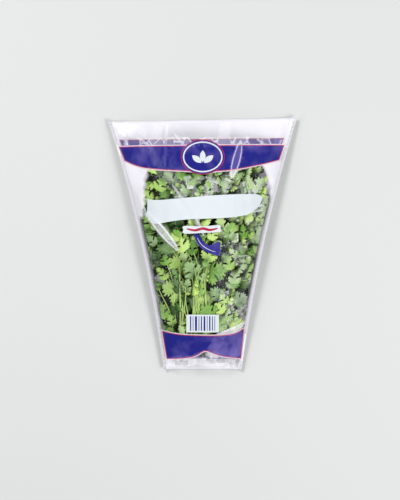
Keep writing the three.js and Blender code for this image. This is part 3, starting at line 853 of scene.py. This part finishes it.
def stemMaterial():
    material, tree = newMaterial("coriander_stem")
    place = addNode(tree, "ShaderNodeTexCoord").outputs["Object"]
    up = addNode(tree, "ShaderNodeSeparateXYZ", inputs={0: place}).outputs["Y"]
    share = addNode(tree, "ShaderNodeMapRange", inputs={"Value": up, "From Min": -0.14, "From Max": 0.02})
    long = addNode(tree, "ShaderNodeMapping",
                   inputs={"Vector": place, "Scale": (1, stemFinish["ribStretch"], 1)})
    grain = addNode(tree, "ShaderNodeTexNoise",
                    inputs={"Vector": long.outputs[0], "Scale": stemFinish["ribs"], "Detail": 2.0})
    plain = addNode(tree, "ShaderNodeMix", {"data_type": "RGBA"},
                    {"Factor": share.outputs[0], 6: linear(stemFinish["pale"]),
                     7: linear(stemFinish["green"])})
    # painted shade: stem parts far under the film are mixed towards the dark colour
    deep = addNode(tree, "ShaderNodeAttribute", {"attribute_name": "deep"}).outputs["Fac"]
    paintedShadeShare = addNode(tree, "ShaderNodeMath", {"operation": "MULTIPLY"},
                        {0: deep, 1: stemFinish["paintedShadeShare"]})
    colour = addNode(tree, "ShaderNodeMix", {"data_type": "RGBA"},
                     {"Factor": paintedShadeShare.outputs[0], 6: plain.outputs[2], 7: linear(stemFinish["deep"])})
    bump = addNode(tree, "ShaderNodeBump", inputs={"Height": grain.outputs["Fac"], "Strength": 0.3,
                                                   "Distance": 0.3 * mm})
    skin = addNode(tree, "ShaderNodeBsdfPrincipled",
                   inputs={"Base Color": colour.outputs[2], "Roughness": stemFinish["roughness"],
                           "Normal": bump.outputs[0]})
    addNode(tree, "ShaderNodeOutputMaterial", inputs={"Surface": skin.outputs[0]})
    return material


leafMaterials = {"leaf_light": leafMaterial("coriander_leaf_light", 0.02),
                 "leaf_mid": leafMaterial("coriander_leaf_mid", -0.08),
                 "leaf_dark": leafMaterial("coriander_leaf_dark", -0.18)}
stemSkin = stemMaterial()
slotOf = {part["node"]: part["material_slot"] for part in frame["record"]["subparts"]}
sweep = stemTree()
for number, node in enumerate(stemNodes):
    piece = leafyStemPiece(node, sweep, leafMaterials[slotOf[node]], stemSkin, number)
    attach(piece, "root")
    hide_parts(node)
report("leafy stems")


def flatPlace(x, y, isFront):
    # the other way round: the flat sheet's point that comes to lie at (x, y)
    along = np.array(y, dtype=float)
    for k in range(4):
        halfWidth = sectionAt(along)[0]
        share = np.clip(np.asarray(x) / halfWidth, -1, 1)
        along = np.asarray(y) - endShift(along, share, np.sqrt(1 - share ** 2), isFront)
    over = np.asarray(x) - share * halfWidth
    return np.column_stack([np.arcsin(share) * 2 / math.pi * sleeve["halfSpan"] + over, along])


# folds of the front, in millimetres: line, half width, height, how white (a painted highlight along the
# fold), and how clear the middle stays
foldRows = [
    ([(-103, 106), (-88, 72), (-67, 28)], 2.6, 1.1, 0.85, 0.7),
    ([(-71, 40), (-52, 17), (-31, -8)], 4.4, 1.6, 0.98, 0.65),
    ([(-39, 74), (-26, 57), (-14, 40)], 1.7, 0.9, 0.55, 0.3),
    ([(-14, 40), (-5, 24), (2, 8)], 1.3, 0.7, 0.45, 0),
    ([(48, 129), (43, 108), (36, 82)], 5, 1.5, 0.98, 0.5),
    ([(58, 43), (67, 46), (79, 49)], 0.9, 0.6, 0.6, 0),
    ([(56, 38), (66, 40), (77, 42)], 0.9, 0.6, 0.55, 0),
    ([(-55, 158), (-58, 128), (-62, 96)], 7.5, 0.5, 0.2, 0),
    ([(-44, 158), (-46, 128), (-47, 94)], 2, 0.5, 0.3, 0),
    ([(30, 158), (27, 138), (24, 122)], 7, 0.5, 0.22, 0),
    ([(-114, 150), (-104, 141), (-96, 134)], 2.5, 0.6, 0.6, 0.4),
    ([(-84, 134), (-74, 128), (-66, 118)], 1.4, 0.5, 0.4, 0),
    ([(-36, 138), (-28, 128), (-22, 121)], 1.6, 0.5, 0.5, 0),
    ([(66, 132), (74, 127), (80, 121)], 1.6, 0.5, 0.4, 0),
    ([(54, -98), (40, -108), (22, -113)], 3.4, 0.8, 0.75, 0.3),
    ([(24, -113), (30, -118), (34, -128)], 1.2, 0.7, 0.3, 0),
    ([(2, -134), (-16, -142), (-44, -144)], 0.9, 0.4, 0.5, 0),
]
folds = [dict(zip(("line", "halfWidth", "height", "white", "hollow"), row)) for row in foldRows]
# where the film is crushed into small facets: middle and reach in millimetres; the whiteness of ridges,
# facets and glints is painted highlight
crumples = [
    {"middle": (33, -127), "reach": (25, 18), "lean": 0.45, "height": 0.9, "grain": 9, "base": 0.14,
     "facet": 0.42, "ridge": 0.34},
    {"middle": (50, 30), "reach": (26, 70), "height": 0.5, "grain": 9, "base": 0, "facet": 0.1, "ridge": 0,
     "sparse": 8, "glint": 0.6},
    {"middle": (-14, 70), "reach": (34, 14), "height": 0.4, "grain": 7, "base": 0, "facet": 0.3, "ridge": 0,
     "sparse": 6, "glint": 0.8},
    {"middle": (-4, -151), "reach": (46, 7), "height": 0.5, "grain": 8, "base": 0, "facet": 0.5,
     "ridge": 0.4},
    {"middle": (40, -70), "reach": (22, 34), "height": 0.5, "grain": 8, "base": 0, "facet": 0.1, "ridge": 0,
     "sparse": 8, "glint": 0.6},
    {"middle": (0, 127), "reach": (104, 6), "height": 0.5, "grain": 13, "base": 0, "facet": 0.2,
     "ridge": 0.6},
]
wrinkles = {
    "across": 0.35,  # height of the long shallow waves that run down the film
    "acrossLength": 13,
    "endGain": 1.8,  # how much stronger they are at the two open ends
    "fine": 0.16,
    "fineLength": 6,
    "seed": (3.1, 8.7, 1.9),
}


def foldField(places):
    # height and whiteness that the folds and the crumples give the front at these places; the whiteness is
    # painted highlight on fold edges, crumple ridges and glinting facets
    height, white = np.zeros(len(places)), np.zeros(len(places))
    for fold in folds:
        line = splineThrough(fold["line"], 4)
        nearest = np.linalg.norm(places[:, None, :2] - line[None], axis=2)
        share = nearest.argmin(axis=1) / (len(line) - 1)
        width = fold["halfWidth"] * (0.15 + np.sin(np.pi * share) ** 0.8)
        off = distanceTo(places[:, :2], line) / width
        height += fold["height"] * np.exp(-off ** 2)
        # painted highlight: white along the fold's edges, less in its clear middle
        rim = 1 - fold["hollow"] * np.exp(-(off / 0.66) ** 6)
        white = np.maximum(white, fold["white"] * np.exp(-off ** 8) * rim)
    for crumple in crumples:
        away = places[:, :2] - crumple["middle"]
        away[:, 0] -= crumple.get("lean", 0) * away[:, 1]
        away /= crumple["reach"]
        inside = smoothStep((1 - (away ** 4).sum(axis=1)) / 0.25)
        for k in np.nonzero(inside > 0)[0]:
            spot = Vector(places[k] / crumple["grain"])
            away, cells = noise.voronoi(Vector((spot.x, spot.y * 0.8, 3.0)))
            ridge = 1 - smoothStep((away[1] - away[0]) / 0.14)
            facet = 0.5 + 0.5 * math.sin(cells[0].x * 39 + cells[0].y * 57)
            height[k] += inside[k] * crumple["height"] * (0.5 * ridge + 0.7 * facet - 0.3)
            # painted highlight: some facets and ridges are made white, as if they caught a lamp
            rare = facet ** crumple.get("sparse", 1)
            glint = ridge * rare * crumple.get("glint", 0)
            paintedHighlightShare = max(ridge * crumple["ridge"], rare * crumple["facet"], glint)
            white[k] = max(white[k], inside[k] * (crumple["base"] + paintedHighlightShare))
    return height, white


def looseFilm(places, isFront):
    # whiteness of the film past the leaves, where its two sheets lie loosely on each other
    film = fill["front" if isFront else "back"]
    left, right = fillSpan(places[:, 1])
    pastSide = np.maximum(left - places[:, 0], places[:, 0] - right)
    start, length = fill["mouthOpen"]
    pastSide -= 200 * smoothStep((places[:, 1] - start) / length)
    ragged = [noise.noise(Vector(place / fill["raggedLength"])) for place in places]
    pastSide += film["ragged"] * np.array(ragged)
    pastEnd = np.abs(places[:, 1] - np.mean(fill["ends"])) - np.ptp(fill["ends"]) / 2
    white = [film[part] * smoothStep(0.5 + (past - film["start"]) / film["blur"])
             for part, past in (("side", pastSide), ("end", pastEnd))]
    return np.maximum(*white)


def wrinkleField(places, isFront):
    shift = Vector(wrinkles["seed"]) * (1 if isFront else 2)
    endShare = np.abs(places[:, 1]) / (sleeve["length"] / 2)
    gain = 1 + wrinkles["endGain"] * smoothStep((endShare - 0.6) / 0.4)
    result = np.empty(len(places))
    for k, (x, y, z) in enumerate(places):
        spread = 1 + 0.5 * y / sleeve["length"]
        broad = noise.noise(Vector((x / spread / wrinkles["acrossLength"], y / 70, 0)) + shift)
        fine = noise.noise(Vector((x / wrinkles["fineLength"], y / 9, 2)) + shift)
        result[k] = gain[k] * wrinkles["across"] * (1 - 2 * abs(broad)) * 1.4 + wrinkles["fine"] * fine
    return result


# all in millimetres on the flat front, seen from above
printed = {
    "bandTop": [(-104, 120.7), (0, 121.6), (101.5, 122.9)],
    "bandFoot": [(95.5, 105.7), (80, 101.2), (63, 97.4), (41, 93.2), (20, 91), (0, 90), (-26, 91.4),
                 (-50, 92.8), (-70, 95), (-85, 98.8), (-97.5, 104.6)],
    "backBandRise": 9.5,
    "lowTop": [(-50, -110.8), (-37, -113.6), (-22.8, -115.2), (0, -116), (20.8, -116), (39.4, -113.9),
               (51, -108.2)],
    "lowFoot": [(47.5, -143.8), (27.1, -141.2), (14.6, -137.6), (2.8, -133.8), (-9.2, -140.1),
                (-22.8, -143.1), (-44.5, -144.4)],
    "backLow": (-111, -145.5),
    "keyline": 0.9,
    "glow": 1.3,  # pale rim outside the keyline
    "ribbonTop": [(-68.9, 55.4), (-53.8, 54.2), (-22.3, 56.7), (15.5, 59.9), (47, 61.4), (64.6, 61.6),
                  (72, 60), (74.7, 56.5)],
    "ribbonFoot": [(72.2, 50), (67.2, 43.5), (59.6, 38), (52, 34.9), (24.3, 31.5), (-17.3, 29.9),
                   (-41.2, 27.1), (-57, 24.4), (-65, 27), (-69.6, 35.9)],
    "tag": [(-23.3, 21.6), (0, 21.2), (20.9, 22.7), (21.8, 18.5), (21.6, 14.3), (0, 13), (-23.3, 12.2),
            (-24, 17)],
    "tagStripe": [(-20, 18.2), (-10, 16.2), (0, 18.4), (9, 16.6), (18.6, 18.8)],
    "tagStripeWidth": 3.4,
    "leafMotif": [(-11, 12.4), (-7.5, 11.2), (-3.6, 10.2), (-1, 4.5), (4, -0.6), (9.5, -2.4), (15, 0.4),
                  (21.4, 1.8), (21.8, -6), (21.4, -14.6), (10.5, -13), (0, -7.5), (-7.5, 1.5)],
    "leafMotifRib": [(-7, 7.2), (-1, -2), (9, -8.4), (16, -10.6)],
    "badge": (0, 108, 26.5, 21.2),  # middle and half widths
    "badgeLine": 1.7,
    "badgeLeaf": 15,
    "panel": (-20.4, -111.2, 20.2, -88.9),
    "bars": [1.5, 0.8, 2.6, 0.9, 1.4, 2.2, 0.8, 1.7, 1.1, 0.8],
    "barGap": 1.95,
    "step": 2.6,
}


def straight(points, step):
    points = np.asarray(points, dtype=float)
    parts = [np.linspace(a, b, max(2, round(np.linalg.norm(b - a) / step) + 1))[:-1]
             for a, b in zip(points[:-1], points[1:])]
    return np.vstack(parts + [points[-1:]])


def turnOf(loop):
    # 1 for a loop that runs against the clock, and -1 for one that runs with it
    return np.sign((loop[:, 0] * np.roll(loop[:, 1], -1) - np.roll(loop[:, 0], -1) * loop[:, 1]).sum())


def expanded(loop, width):
    # the loop drawn out sideways by a width
    ahead, behind = np.roll(loop, -1, axis=0) - loop, loop - np.roll(loop, 1, axis=0)
    ahead /= np.linalg.norm(ahead, axis=1, keepdims=True)
    behind /= np.linalg.norm(behind, axis=1, keepdims=True)
    out = np.column_stack([(ahead + behind)[:, 1], -(ahead + behind)[:, 0]])
    out /= np.maximum(np.linalg.norm(out, axis=1, keepdims=True), 1e-6)
    turn = np.maximum((out * np.column_stack([ahead[:, 1], -ahead[:, 0]])).sum(axis=1, keepdims=True), 0.6)
    return loop + out * (width * turnOf(loop) / turn)


def banded(top, foot):
    # a loop along a top edge, down to a foot edge and back
    step = printed["step"]
    top, foot = splineThrough(top, step), splineThrough(foot, step)
    down, back = straight([top[-1], foot[0]], step), straight([foot[-1], top[0]], step)
    return np.vstack([top, down[1:-1], foot, back[1:-1]])


def stripe(line, width):
    line = splineThrough(line, 1.6)
    run = np.gradient(line, axis=0)
    side = np.column_stack([run[:, 1], -run[:, 0]]) / np.linalg.norm(run, axis=1, keepdims=True)
    taper = (0.25 + 0.75 * np.sin(np.linspace(0, math.pi, len(line))) ** 0.5)[:, None] * width / 2
    return np.vstack([line - side * taper, (line + side * taper)[::-1]])


def oval(x, y, halfWidth, halfHeight, count):
    turn = np.linspace(0, 2 * math.pi, count, endpoint=False)
    return np.column_stack([x + halfWidth * np.cos(turn), y + halfHeight * np.sin(turn)])


def rectangle(x0, y0, x1, y1, step):
    return straight([(x0, y0), (x1, y0), (x1, y1), (x0, y1), (x0, y0)], step)[:-1]


def sprig(x, y, reach):
    # a plain three-leaved sprig: pointed ovals turned about their foot
    leaves = []
    for degrees in (-52, 0, 52):
        t = np.linspace(0, 1, 9)
        half = 0.24 * reach * np.sin(np.pi * t) ** 0.8
        right, left = np.column_stack([half, t * reach]), np.column_stack([-half, t * reach])
        blade = np.vstack([right, left[::-1][1:-1]])
        c, s = math.cos(math.radians(degrees)), math.sin(math.radians(degrees))
        blade = blade[:, :1] * (c, s) + (blade[:, 1:] + 0.12 * reach) * (-s, c)
        leaves.append(blade + (x, y))
    return leaves


def frontPrint():
    # every printed shape of the front, each over the ones before it, with its ink
    keyline, glow = printed["keyline"], printed["keyline"] + printed["glow"]
    band = banded(printed["bandTop"], printed["bandFoot"])
    low = banded(printed["lowTop"], printed["lowFoot"])
    x, y, halfWidth, halfHeight = printed["badge"]
    line = printed["badgeLine"]
    shapes = []
    for loop in (band, low):
        shapes += [(expanded(loop, glow), "pale"), (expanded(loop, keyline), "red"), (loop, "indigo")]
    shapes += [(oval(x, y, halfWidth + keyline, halfHeight + keyline, 56), "red"),
               (oval(x, y, halfWidth, halfHeight, 56), "indigo"),
               (oval(x, y, halfWidth - line, halfHeight - line, 52), "white"),
               (oval(x, y, halfWidth - 2 * line, halfHeight - 2 * line, 48), "indigo")]
    shapes += [(leaf, "white") for leaf in sprig(x, y - 8.5, printed["badgeLeaf"])]
    shapes.append((banded(printed["ribbonTop"], printed["ribbonFoot"]), "white"))
    shapes.append((splineThrough(printed["leafMotif"], 1.8, closed=True), "indigo"))
    shapes.append((stripe(printed["leafMotifRib"], 0.7), "white"))
    shapes.append((splineThrough(printed["tag"], 1.8, closed=True), "white"))
    shapes.append((stripe(printed["tagStripe"], printed["tagStripeWidth"]), "red"))
    x0, y0, x1, y1 = printed["panel"]
    shapes.append((rectangle(x0, y0, x1, y1, printed["step"]), "white"))
    at = x0 + 4.5
    for width in printed["bars"]:
        shapes.append((rectangle(at, y0 + 2, at + width, y1 - 2, 3), "indigo"))
        at += width + printed["barGap"]
    return shapes


def backPrint():
    rise = printed["backBandRise"]
    band = banded(*[[(x, y + rise) for x, y in printed[edge]] for edge in ("bandTop", "bandFoot")])
    low, high = printed["backLow"]
    bottom = rectangle(-46, high, 46, low, printed["step"])
    return [(expanded(band, printed["keyline"]), "red"), (band, "indigo"), (bottom, "indigo")]


# the sleeve's material slots, in turn
inks = ["film", "indigo", "red", "white", "pale"]


def sheetRim():
    # the flat sheet's edge, against the clock, and where its four corners are in it
    wide, long = sleeve["halfSpan"] + sleeve["seamWidth"], sleeve["length"] / 2
    corners = [(-wide, -long), (wide, -long), (wide, long), (-wide, long), (-wide, -long)]
    sides = [straight([a, b], sleeve["gridStep"])[:-1] for a, b in zip(corners[:-1], corners[1:])]
    return np.vstack(sides), np.cumsum([0] + [len(side) for side in sides])


def finePoints():
    # closer points of the flat front where it is folded or crushed
    step = sleeve["fineStep"]
    across, along = sleeve["halfWidths"][2], sleeve["length"] / 2 - step
    x, y = np.meshgrid(np.arange(-across, across, step), np.arange(-along, along, step))
    spots = np.column_stack([x.ravel(), y.ravel()])
    wanted = np.zeros(len(spots), dtype=bool)
    for fold in folds:
        wanted |= distanceTo(spots, splineThrough(fold["line"], 6)) < 1.35 * fold["halfWidth"]
    for crumple in crumples:
        wanted |= (((spots - crumple["middle"]) / crumple["reach"]) ** 4).sum(axis=1) < 1
    spots = spots[wanted & (np.abs(spots[:, 0]) < sectionAt(spots[:, 1])[0] - 2)]
    return flatPlace(spots[:, 0], spots[:, 1], True)


def cutSheet(shapes, isFront):
    # triangles of one flat sheet, each with its ink
    rim, corners = sheetRim()
    loops = [flatPlace(shape[:, 0], shape[:, 1], isFront) for shape, ink in shapes]
    loops = [loop[::int(turnOf(loop))] for loop in loops]
    points = [Vector(p) for p in rim]
    areas = [list(range(len(rim)))]
    for loop in loops:
        areas.append(list(range(len(points), len(points) + len(loop))))
        points += [Vector(p) for p in loop]
    step = sleeve["gridStep"]
    weld = sleeve["halfSpan"]
    columns = np.arange(-weld + step / 2, weld, step)
    rows = np.arange(-sleeve["length"] / 2 + step * 0.6, sleeve["length"] / 2 - step * 0.4, step * 0.87)
    grid = np.array([(x + (k % 2 - 0.5) * step / 2, y) for k, y in enumerate(rows) for x in columns])
    taken = np.vstack([rim] + loops)
    clear = np.array([np.abs(taken - spot).max(axis=1).min() > 0.42 * step for spot in grid])
    points += [Vector(p) for p in grid[clear]]
    if isFront:
        fine = finePoints()
        clear = np.array([np.abs(taken - spot).max(axis=1).min() > 0.3 * sleeve["fineStep"] for spot in fine])
        points += [Vector(p) for p in fine[clear]]
    for side in (-1, 1):
        points += [Vector((side * weld, y)) for y in rows]
    found = delaunay_2d_cdt(points, [], areas, 1, 1e-4)
    place = np.array([tuple(p) for p in found[0]])
    edge = [0] * len(rim)
    for new, originals in enumerate(found[3]):
        for original in originals:
            if original < len(rim):
                edge[original] = new
    uppermost = [max(around) for around in found[5]]
    ink = [0 if k == 0 else inks.index(shapes[k - 1][1]) for k in uppermost]
    return {"flat": place, "faces": np.array(found[2]), "edge": edge, "ink": ink}


def filmSheet(shapes, isFront):
    # the sheet in its place on the sleeve, as the points of its outer and inner face
    sheet = cutSheet(shapes, isFront)
    places = filmPlace(sheet["flat"], isFront)
    across = np.abs(sheet["flat"][:, 0]) / sleeve["halfSpan"]
    free = smoothStep((1 - across) / 0.12)
    # white holds the painted highlights of the front's folds and crumples
    height, white = foldField(places) if isFront else (np.zeros(len(places)), np.zeros(len(places)))
    if isFront:
        places[:, 2] += free * np.maximum(height + wrinkleField(places, isFront) - 0.5, -0.9)
    else:
        places[:, 2] += free * (0.25 + np.abs(wrinkleField(places, isFront)) * 0.6)
    normals = normalsOf(places, sheet["faces"])
    if not isFront:
        normals = -normals
    half = sleeve["sheet"] / 2
    sheet["outer"] = places + normals * half
    sheet["inner"] = places - normals * half
    onWeld = across > 1 + 0.5 * sleeve["seamWidth"] / sleeve["halfSpan"]
    sheet["inner"][onWeld, 0] -= np.sign(places[onWeld, 0]) * 0.5
    weldWhite = np.maximum(*[smoothStep((across - start) / width) * most
                             for start, width, most in sleeve["weldWhite"]])
    # a sheet is seen through both of its faces, so that each has its share of the whiteness
    if not isFront:
        white = white + sleeve["backInkLift"] * (np.abs(places[:, 1]) > 100)
    sheet["white"] = 1 - np.sqrt(1 - np.clip(white, 0, 0.98))
    sheet["loose"] = 1 - np.sqrt(1 - np.maximum(weldWhite, looseFilm(places, isFront)))
    return sheet


def sleevePiece(materials):
    front, back = filmSheet(frontPrint(), True), filmSheet(backPrint(), False)
    rim, corners = sheetRim()
    count, backCount = len(front["outer"]), len(back["outer"])
    starts = {"frontOuter": 0, "frontInner": count, "backOuter": 2 * count,
              "backInner": 2 * count + backCount}
    points = np.vstack([front["outer"], front["inner"], back["outer"], back["inner"]]) * mm
    fields = {name: np.hstack([front[name]] * 2 + [back[name]] * 2) for name in ("white", "loose")}
    faces = np.vstack([front["faces"], front["faces"][:, ::-1] + count,
                       back["faces"][:, ::-1] + 2 * count, back["faces"] + 2 * count + backCount]).tolist()
    ink = list(front["ink"]) * 2 + list(back["ink"]) * 2

    def edgePoint(wall, k):
        sheet = front if wall.startswith("front") else back
        return starts[wall] + sheet["edge"][k % len(rim)]

    def strip(first, last, low, high):
        for k in range(first, last):
            faces.append([edgePoint(low, k), edgePoint(low, k + 1),
                          edgePoint(high, k + 1), edgePoint(high, k)])
            ink.append(0)

    for side in (0, 2):
        strip(corners[side], corners[side + 1], "frontInner", "frontOuter")
        strip(corners[side], corners[side + 1], "backOuter", "backInner")
    for side in (1, 3):
        strip(corners[side], corners[side + 1], "backOuter", "frontOuter")
        strip(corners[side], corners[side + 1], "frontInner", "backInner")
    for k in corners[:4]:
        faces.append([edgePoint(wall, k) for wall in ("frontOuter", "frontInner", "backInner", "backOuter")])
        ink.append(0)
    piece = meshPiece("sleeve_printed_film", points, faces, materials, ink, fields)
    shell = bmesh.new()
    shell.from_mesh(piece.data)
    bmesh.ops.recalc_face_normals(shell, faces=shell.faces)
    report(f"sleeve of {len(faces)} faces, {sum(not e.is_manifold for e in shell.edges)} open edges, "
           f"volume {shell.calc_volume() * 1e6:.2f} cm3")
    shell.to_mesh(piece.data)
    shell.free()
    return piece


filmFinish = {
    # clear oriented polypropylene: glassy, with a faint milky haze; along folds and crumples painted
    # highlights whiten it further
    "hazePatches": 0.006,
    "milk": "#faf8ff",
    "gloss": 0.003,
    "grazing": 0.35,
    "roughness": 0.09,
    "waves": 110,  # per metre, so about 9 mm long
    "clouds": 22,  # per metre, so about 45 mm wide
    "worn": 40,  # patches of paler ink per metre, so about 25 mm wide
    # printed inks on the inside of the film, so that all of them are glossy
    "indigo": "#25277f",
    "indigoLight": "#9180c8",
    "red": "#b52a4a",
    "redLight": "#d8799b",
    "white": "#dae1e6",
    "pale": "#f3dcea",
    "cover": {"indigo": 0.85, "red": 0.7, "white": 0.78, "pale": 0.45},
}


def filmGloss(tree):
    # fresnel-like gloss that doesn't depend on which face of the film is seen
    place = addNode(tree, "ShaderNodeTexCoord").outputs["Object"]
    ripple = addNode(tree, "ShaderNodeTexNoise",
                     inputs={"Vector": place, "Scale": filmFinish["waves"], "Detail": 3.0})
    bump = addNode(tree, "ShaderNodeBump", inputs={"Height": ripple.outputs["Fac"], "Strength": 0.5,
                                                   "Distance": 0.8 * mm})
    facing = addNode(tree, "ShaderNodeLayerWeight", inputs={"Blend": 0.5, "Normal": bump.outputs[0]})
    edge = addNode(tree, "ShaderNodeMath", {"operation": "POWER"}, {0: facing.outputs["Facing"], 1: 4.0})
    share = addNode(tree, "ShaderNodeMath", {"operation": "MULTIPLY_ADD"},
                    {0: edge.outputs[0], 1: filmFinish["grazing"], 2: filmFinish["gloss"]})
    gloss = addNode(tree, "ShaderNodeBsdfGlossy", inputs={"Roughness": filmFinish["roughness"],
                                                          "Normal": bump.outputs[0]})
    return place, share.outputs[0], gloss.outputs[0]


def clearFilm():
    material, tree = newMaterial("clear_film")
    place, share, gloss = filmGloss(tree)
    patches = addNode(tree, "ShaderNodeTexNoise",
                      inputs={"Vector": place, "Scale": filmFinish["clouds"], "Detail": 3.0})
    cloudy = addNode(tree, "ShaderNodeMapRange", {"interpolation_type": "SMOOTHSTEP"},
                     {"Value": patches.outputs["Fac"], "From Min": 0.45, "From Max": 0.7,
                      "To Min": 0.0, "To Max": filmFinish["hazePatches"]})
    # painted highlight: the white attribute whitens the film at folds and crumples as milky diffuse, along
    # with the haze of loose film
    white = addNode(tree, "ShaderNodeAttribute", {"attribute_name": "white"}).outputs["Fac"]
    loose = addNode(tree, "ShaderNodeAttribute", {"attribute_name": "loose"}).outputs["Fac"]
    folded = addNode(tree, "ShaderNodeMath", {"operation": "MAXIMUM"}, {0: loose, 1: white})
    haze = addNode(tree, "ShaderNodeMath", {"operation": "ADD", "use_clamp": True},
                   {0: cloudy.outputs[0], 1: folded.outputs[0]})
    clear = addNode(tree, "ShaderNodeBsdfTransparent")
    milk = addNode(tree, "ShaderNodeBsdfDiffuse", inputs={"Color": linear(filmFinish["milk"])})
    body = addNode(tree, "ShaderNodeMixShader",
                   inputs={0: haze.outputs[0], 1: clear.outputs[0], 2: milk.outputs[0]})
    done = addNode(tree, "ShaderNodeMixShader", inputs={0: share, 1: body.outputs[0], 2: gloss})
    addNode(tree, "ShaderNodeOutputMaterial", inputs={"Surface": done.outputs[0]})
    return material


def inkedFilm(ink):
    material, tree = newMaterial(ink + "_ink_on_film")
    place, share, gloss = filmGloss(tree)
    white = addNode(tree, "ShaderNodeAttribute", {"attribute_name": "white"}).outputs["Fac"]
    patches = addNode(tree, "ShaderNodeTexNoise",
                      inputs={"Vector": place, "Scale": filmFinish["worn"], "Detail": 2.0})
    worn = addNode(tree, "ShaderNodeMapRange", inputs={"Value": patches.outputs["Fac"], "From Min": 0.45,
                                                       "From Max": 0.75, "To Min": 0.0, "To Max": 0.3})
    # the ink is paler in worn patches, on the back's ink, and under the painted highlights of folds and
    # crumples
    lift = addNode(tree, "ShaderNodeMath", {"operation": "ADD", "use_clamp": True},
                   {0: worn.outputs[0], 1: white})
    lifted = filmFinish.get(ink + "Light", filmFinish["white"])
    colour = addNode(tree, "ShaderNodeMix", {"data_type": "RGBA"},
                     {"Factor": lift.outputs[0], 6: linear(filmFinish[ink]), 7: linear(lifted)})
    # painted highlight: where folds and crumples are marked white, the ink turns to milky white
    paintedHighlightShare = addNode(tree, "ShaderNodeMapRange", inputs={"Value": white, "From Min": 0.36, "From Max": 0.7,
                                                         "To Min": 0.0, "To Max": 0.85})
    paintedHighlight = addNode(tree, "ShaderNodeMix", {"data_type": "RGBA"},
                      {"Factor": paintedHighlightShare.outputs[0], 6: colour.outputs[2], 7: linear(filmFinish["milk"])})
    pigment = addNode(tree, "ShaderNodeBsdfDiffuse", inputs={"Color": paintedHighlight.outputs[2]})
    clear = addNode(tree, "ShaderNodeBsdfTransparent")
    body = addNode(tree, "ShaderNodeMixShader", inputs={0: filmFinish["cover"][ink], 1: clear.outputs[0],
                                                        2: pigment.outputs[0]})
    done = addNode(tree, "ShaderNodeMixShader", inputs={0: share, 1: body.outputs[0], 2: gloss})
    addNode(tree, "ShaderNodeOutputMaterial", inputs={"Surface": done.outputs[0]})
    return material


sleeveObject = sleevePiece([clearFilm()] + [inkedFilm(ink) for ink in inks[1:]])
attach(sleeveObject, "root")
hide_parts("sleeve_film")


studio = {
    "floor": "#c6c8c7",
    "floorSize": 6.0,
    "floorDrop": 0.3 * mm,
    "world": "#ffffff",
    "worldStrength": 0.3,
    "softbox": {"place": (-0.9, 0.9, 1.7), "size": 0.7, "power": 30},
    "fillbox": {"place": (1.1, -0.7, 1.5), "size": 0.8, "power": 24},
    "leftStrip": {"place": (-1.2, -0.3, 0.8), "size": 0.4, "power": 3},
    "rightStrip": {"place": (1.2, 0.4, 0.9), "size": 0.4, "power": 3},
}
cameraPlace = {
    "target": (-3.4 * mm, -8.2 * mm, 8 * mm),
    "frameHeight": 0.63,  # what the frame shows at the object's middle height
    "distance": 3.2,
}


def addFloor():
    material, tree = newMaterial("studio_floor")
    surface = addNode(tree, "ShaderNodeBsdfPrincipled", inputs={"Base Color": linear(studio["floor"]),
                                                                "Roughness": 0.8, "Specular IOR Level": 0.1})
    addNode(tree, "ShaderNodeOutputMaterial", inputs={"Surface": surface.outputs[0]})
    half, z = studio["floorSize"] / 2, -studio["floorDrop"]
    corners = [(-half, -half, z), (half, -half, z), (half, half, z), (-half, half, z)]
    floor = meshPiece("studio_floor", corners, [(0, 1, 2, 3)], [material])


def addLights():
    world = bpy.data.worlds.new("studio")
    bpy.context.scene.world = world
    world.use_nodes = True
    background = world.node_tree.nodes["Background"]
    background.inputs["Color"].default_value = linear(studio["world"])
    background.inputs["Strength"].default_value = studio["worldStrength"]
    for name in ("softbox", "fillbox", "leftStrip", "rightStrip"):
        light = bpy.data.lights.new(name, "AREA")
        light.energy = studio[name]["power"]
        light.size = studio[name]["size"]
        lamp = bpy.data.objects.new(name, light)
        lamp.location = studio[name]["place"]
        lamp.rotation_euler = (-Vector(studio[name]["place"])).to_track_quat("-Z", "Y").to_euler()
        bpy.context.scene.collection.objects.link(lamp)


def addCamera():
    camera = bpy.data.cameras.new("camera")
    camera.sensor_fit = "VERTICAL"
    camera.sensor_height = 24
    camera.lens = camera.sensor_height * cameraPlace["distance"] / cameraPlace["frameHeight"]
    camera.clip_end = 20
    holder = bpy.data.objects.new("camera", camera)
    target = Vector(cameraPlace["target"])
    holder.location = target + Vector((0, 0, cameraPlace["distance"]))
    bpy.context.scene.collection.objects.link(holder)
    bpy.context.scene.camera = holder
    bpy.context.scene.view_settings.view_transform = "Standard"


addFloor()
addLights()
addCamera()
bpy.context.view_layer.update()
report("done")
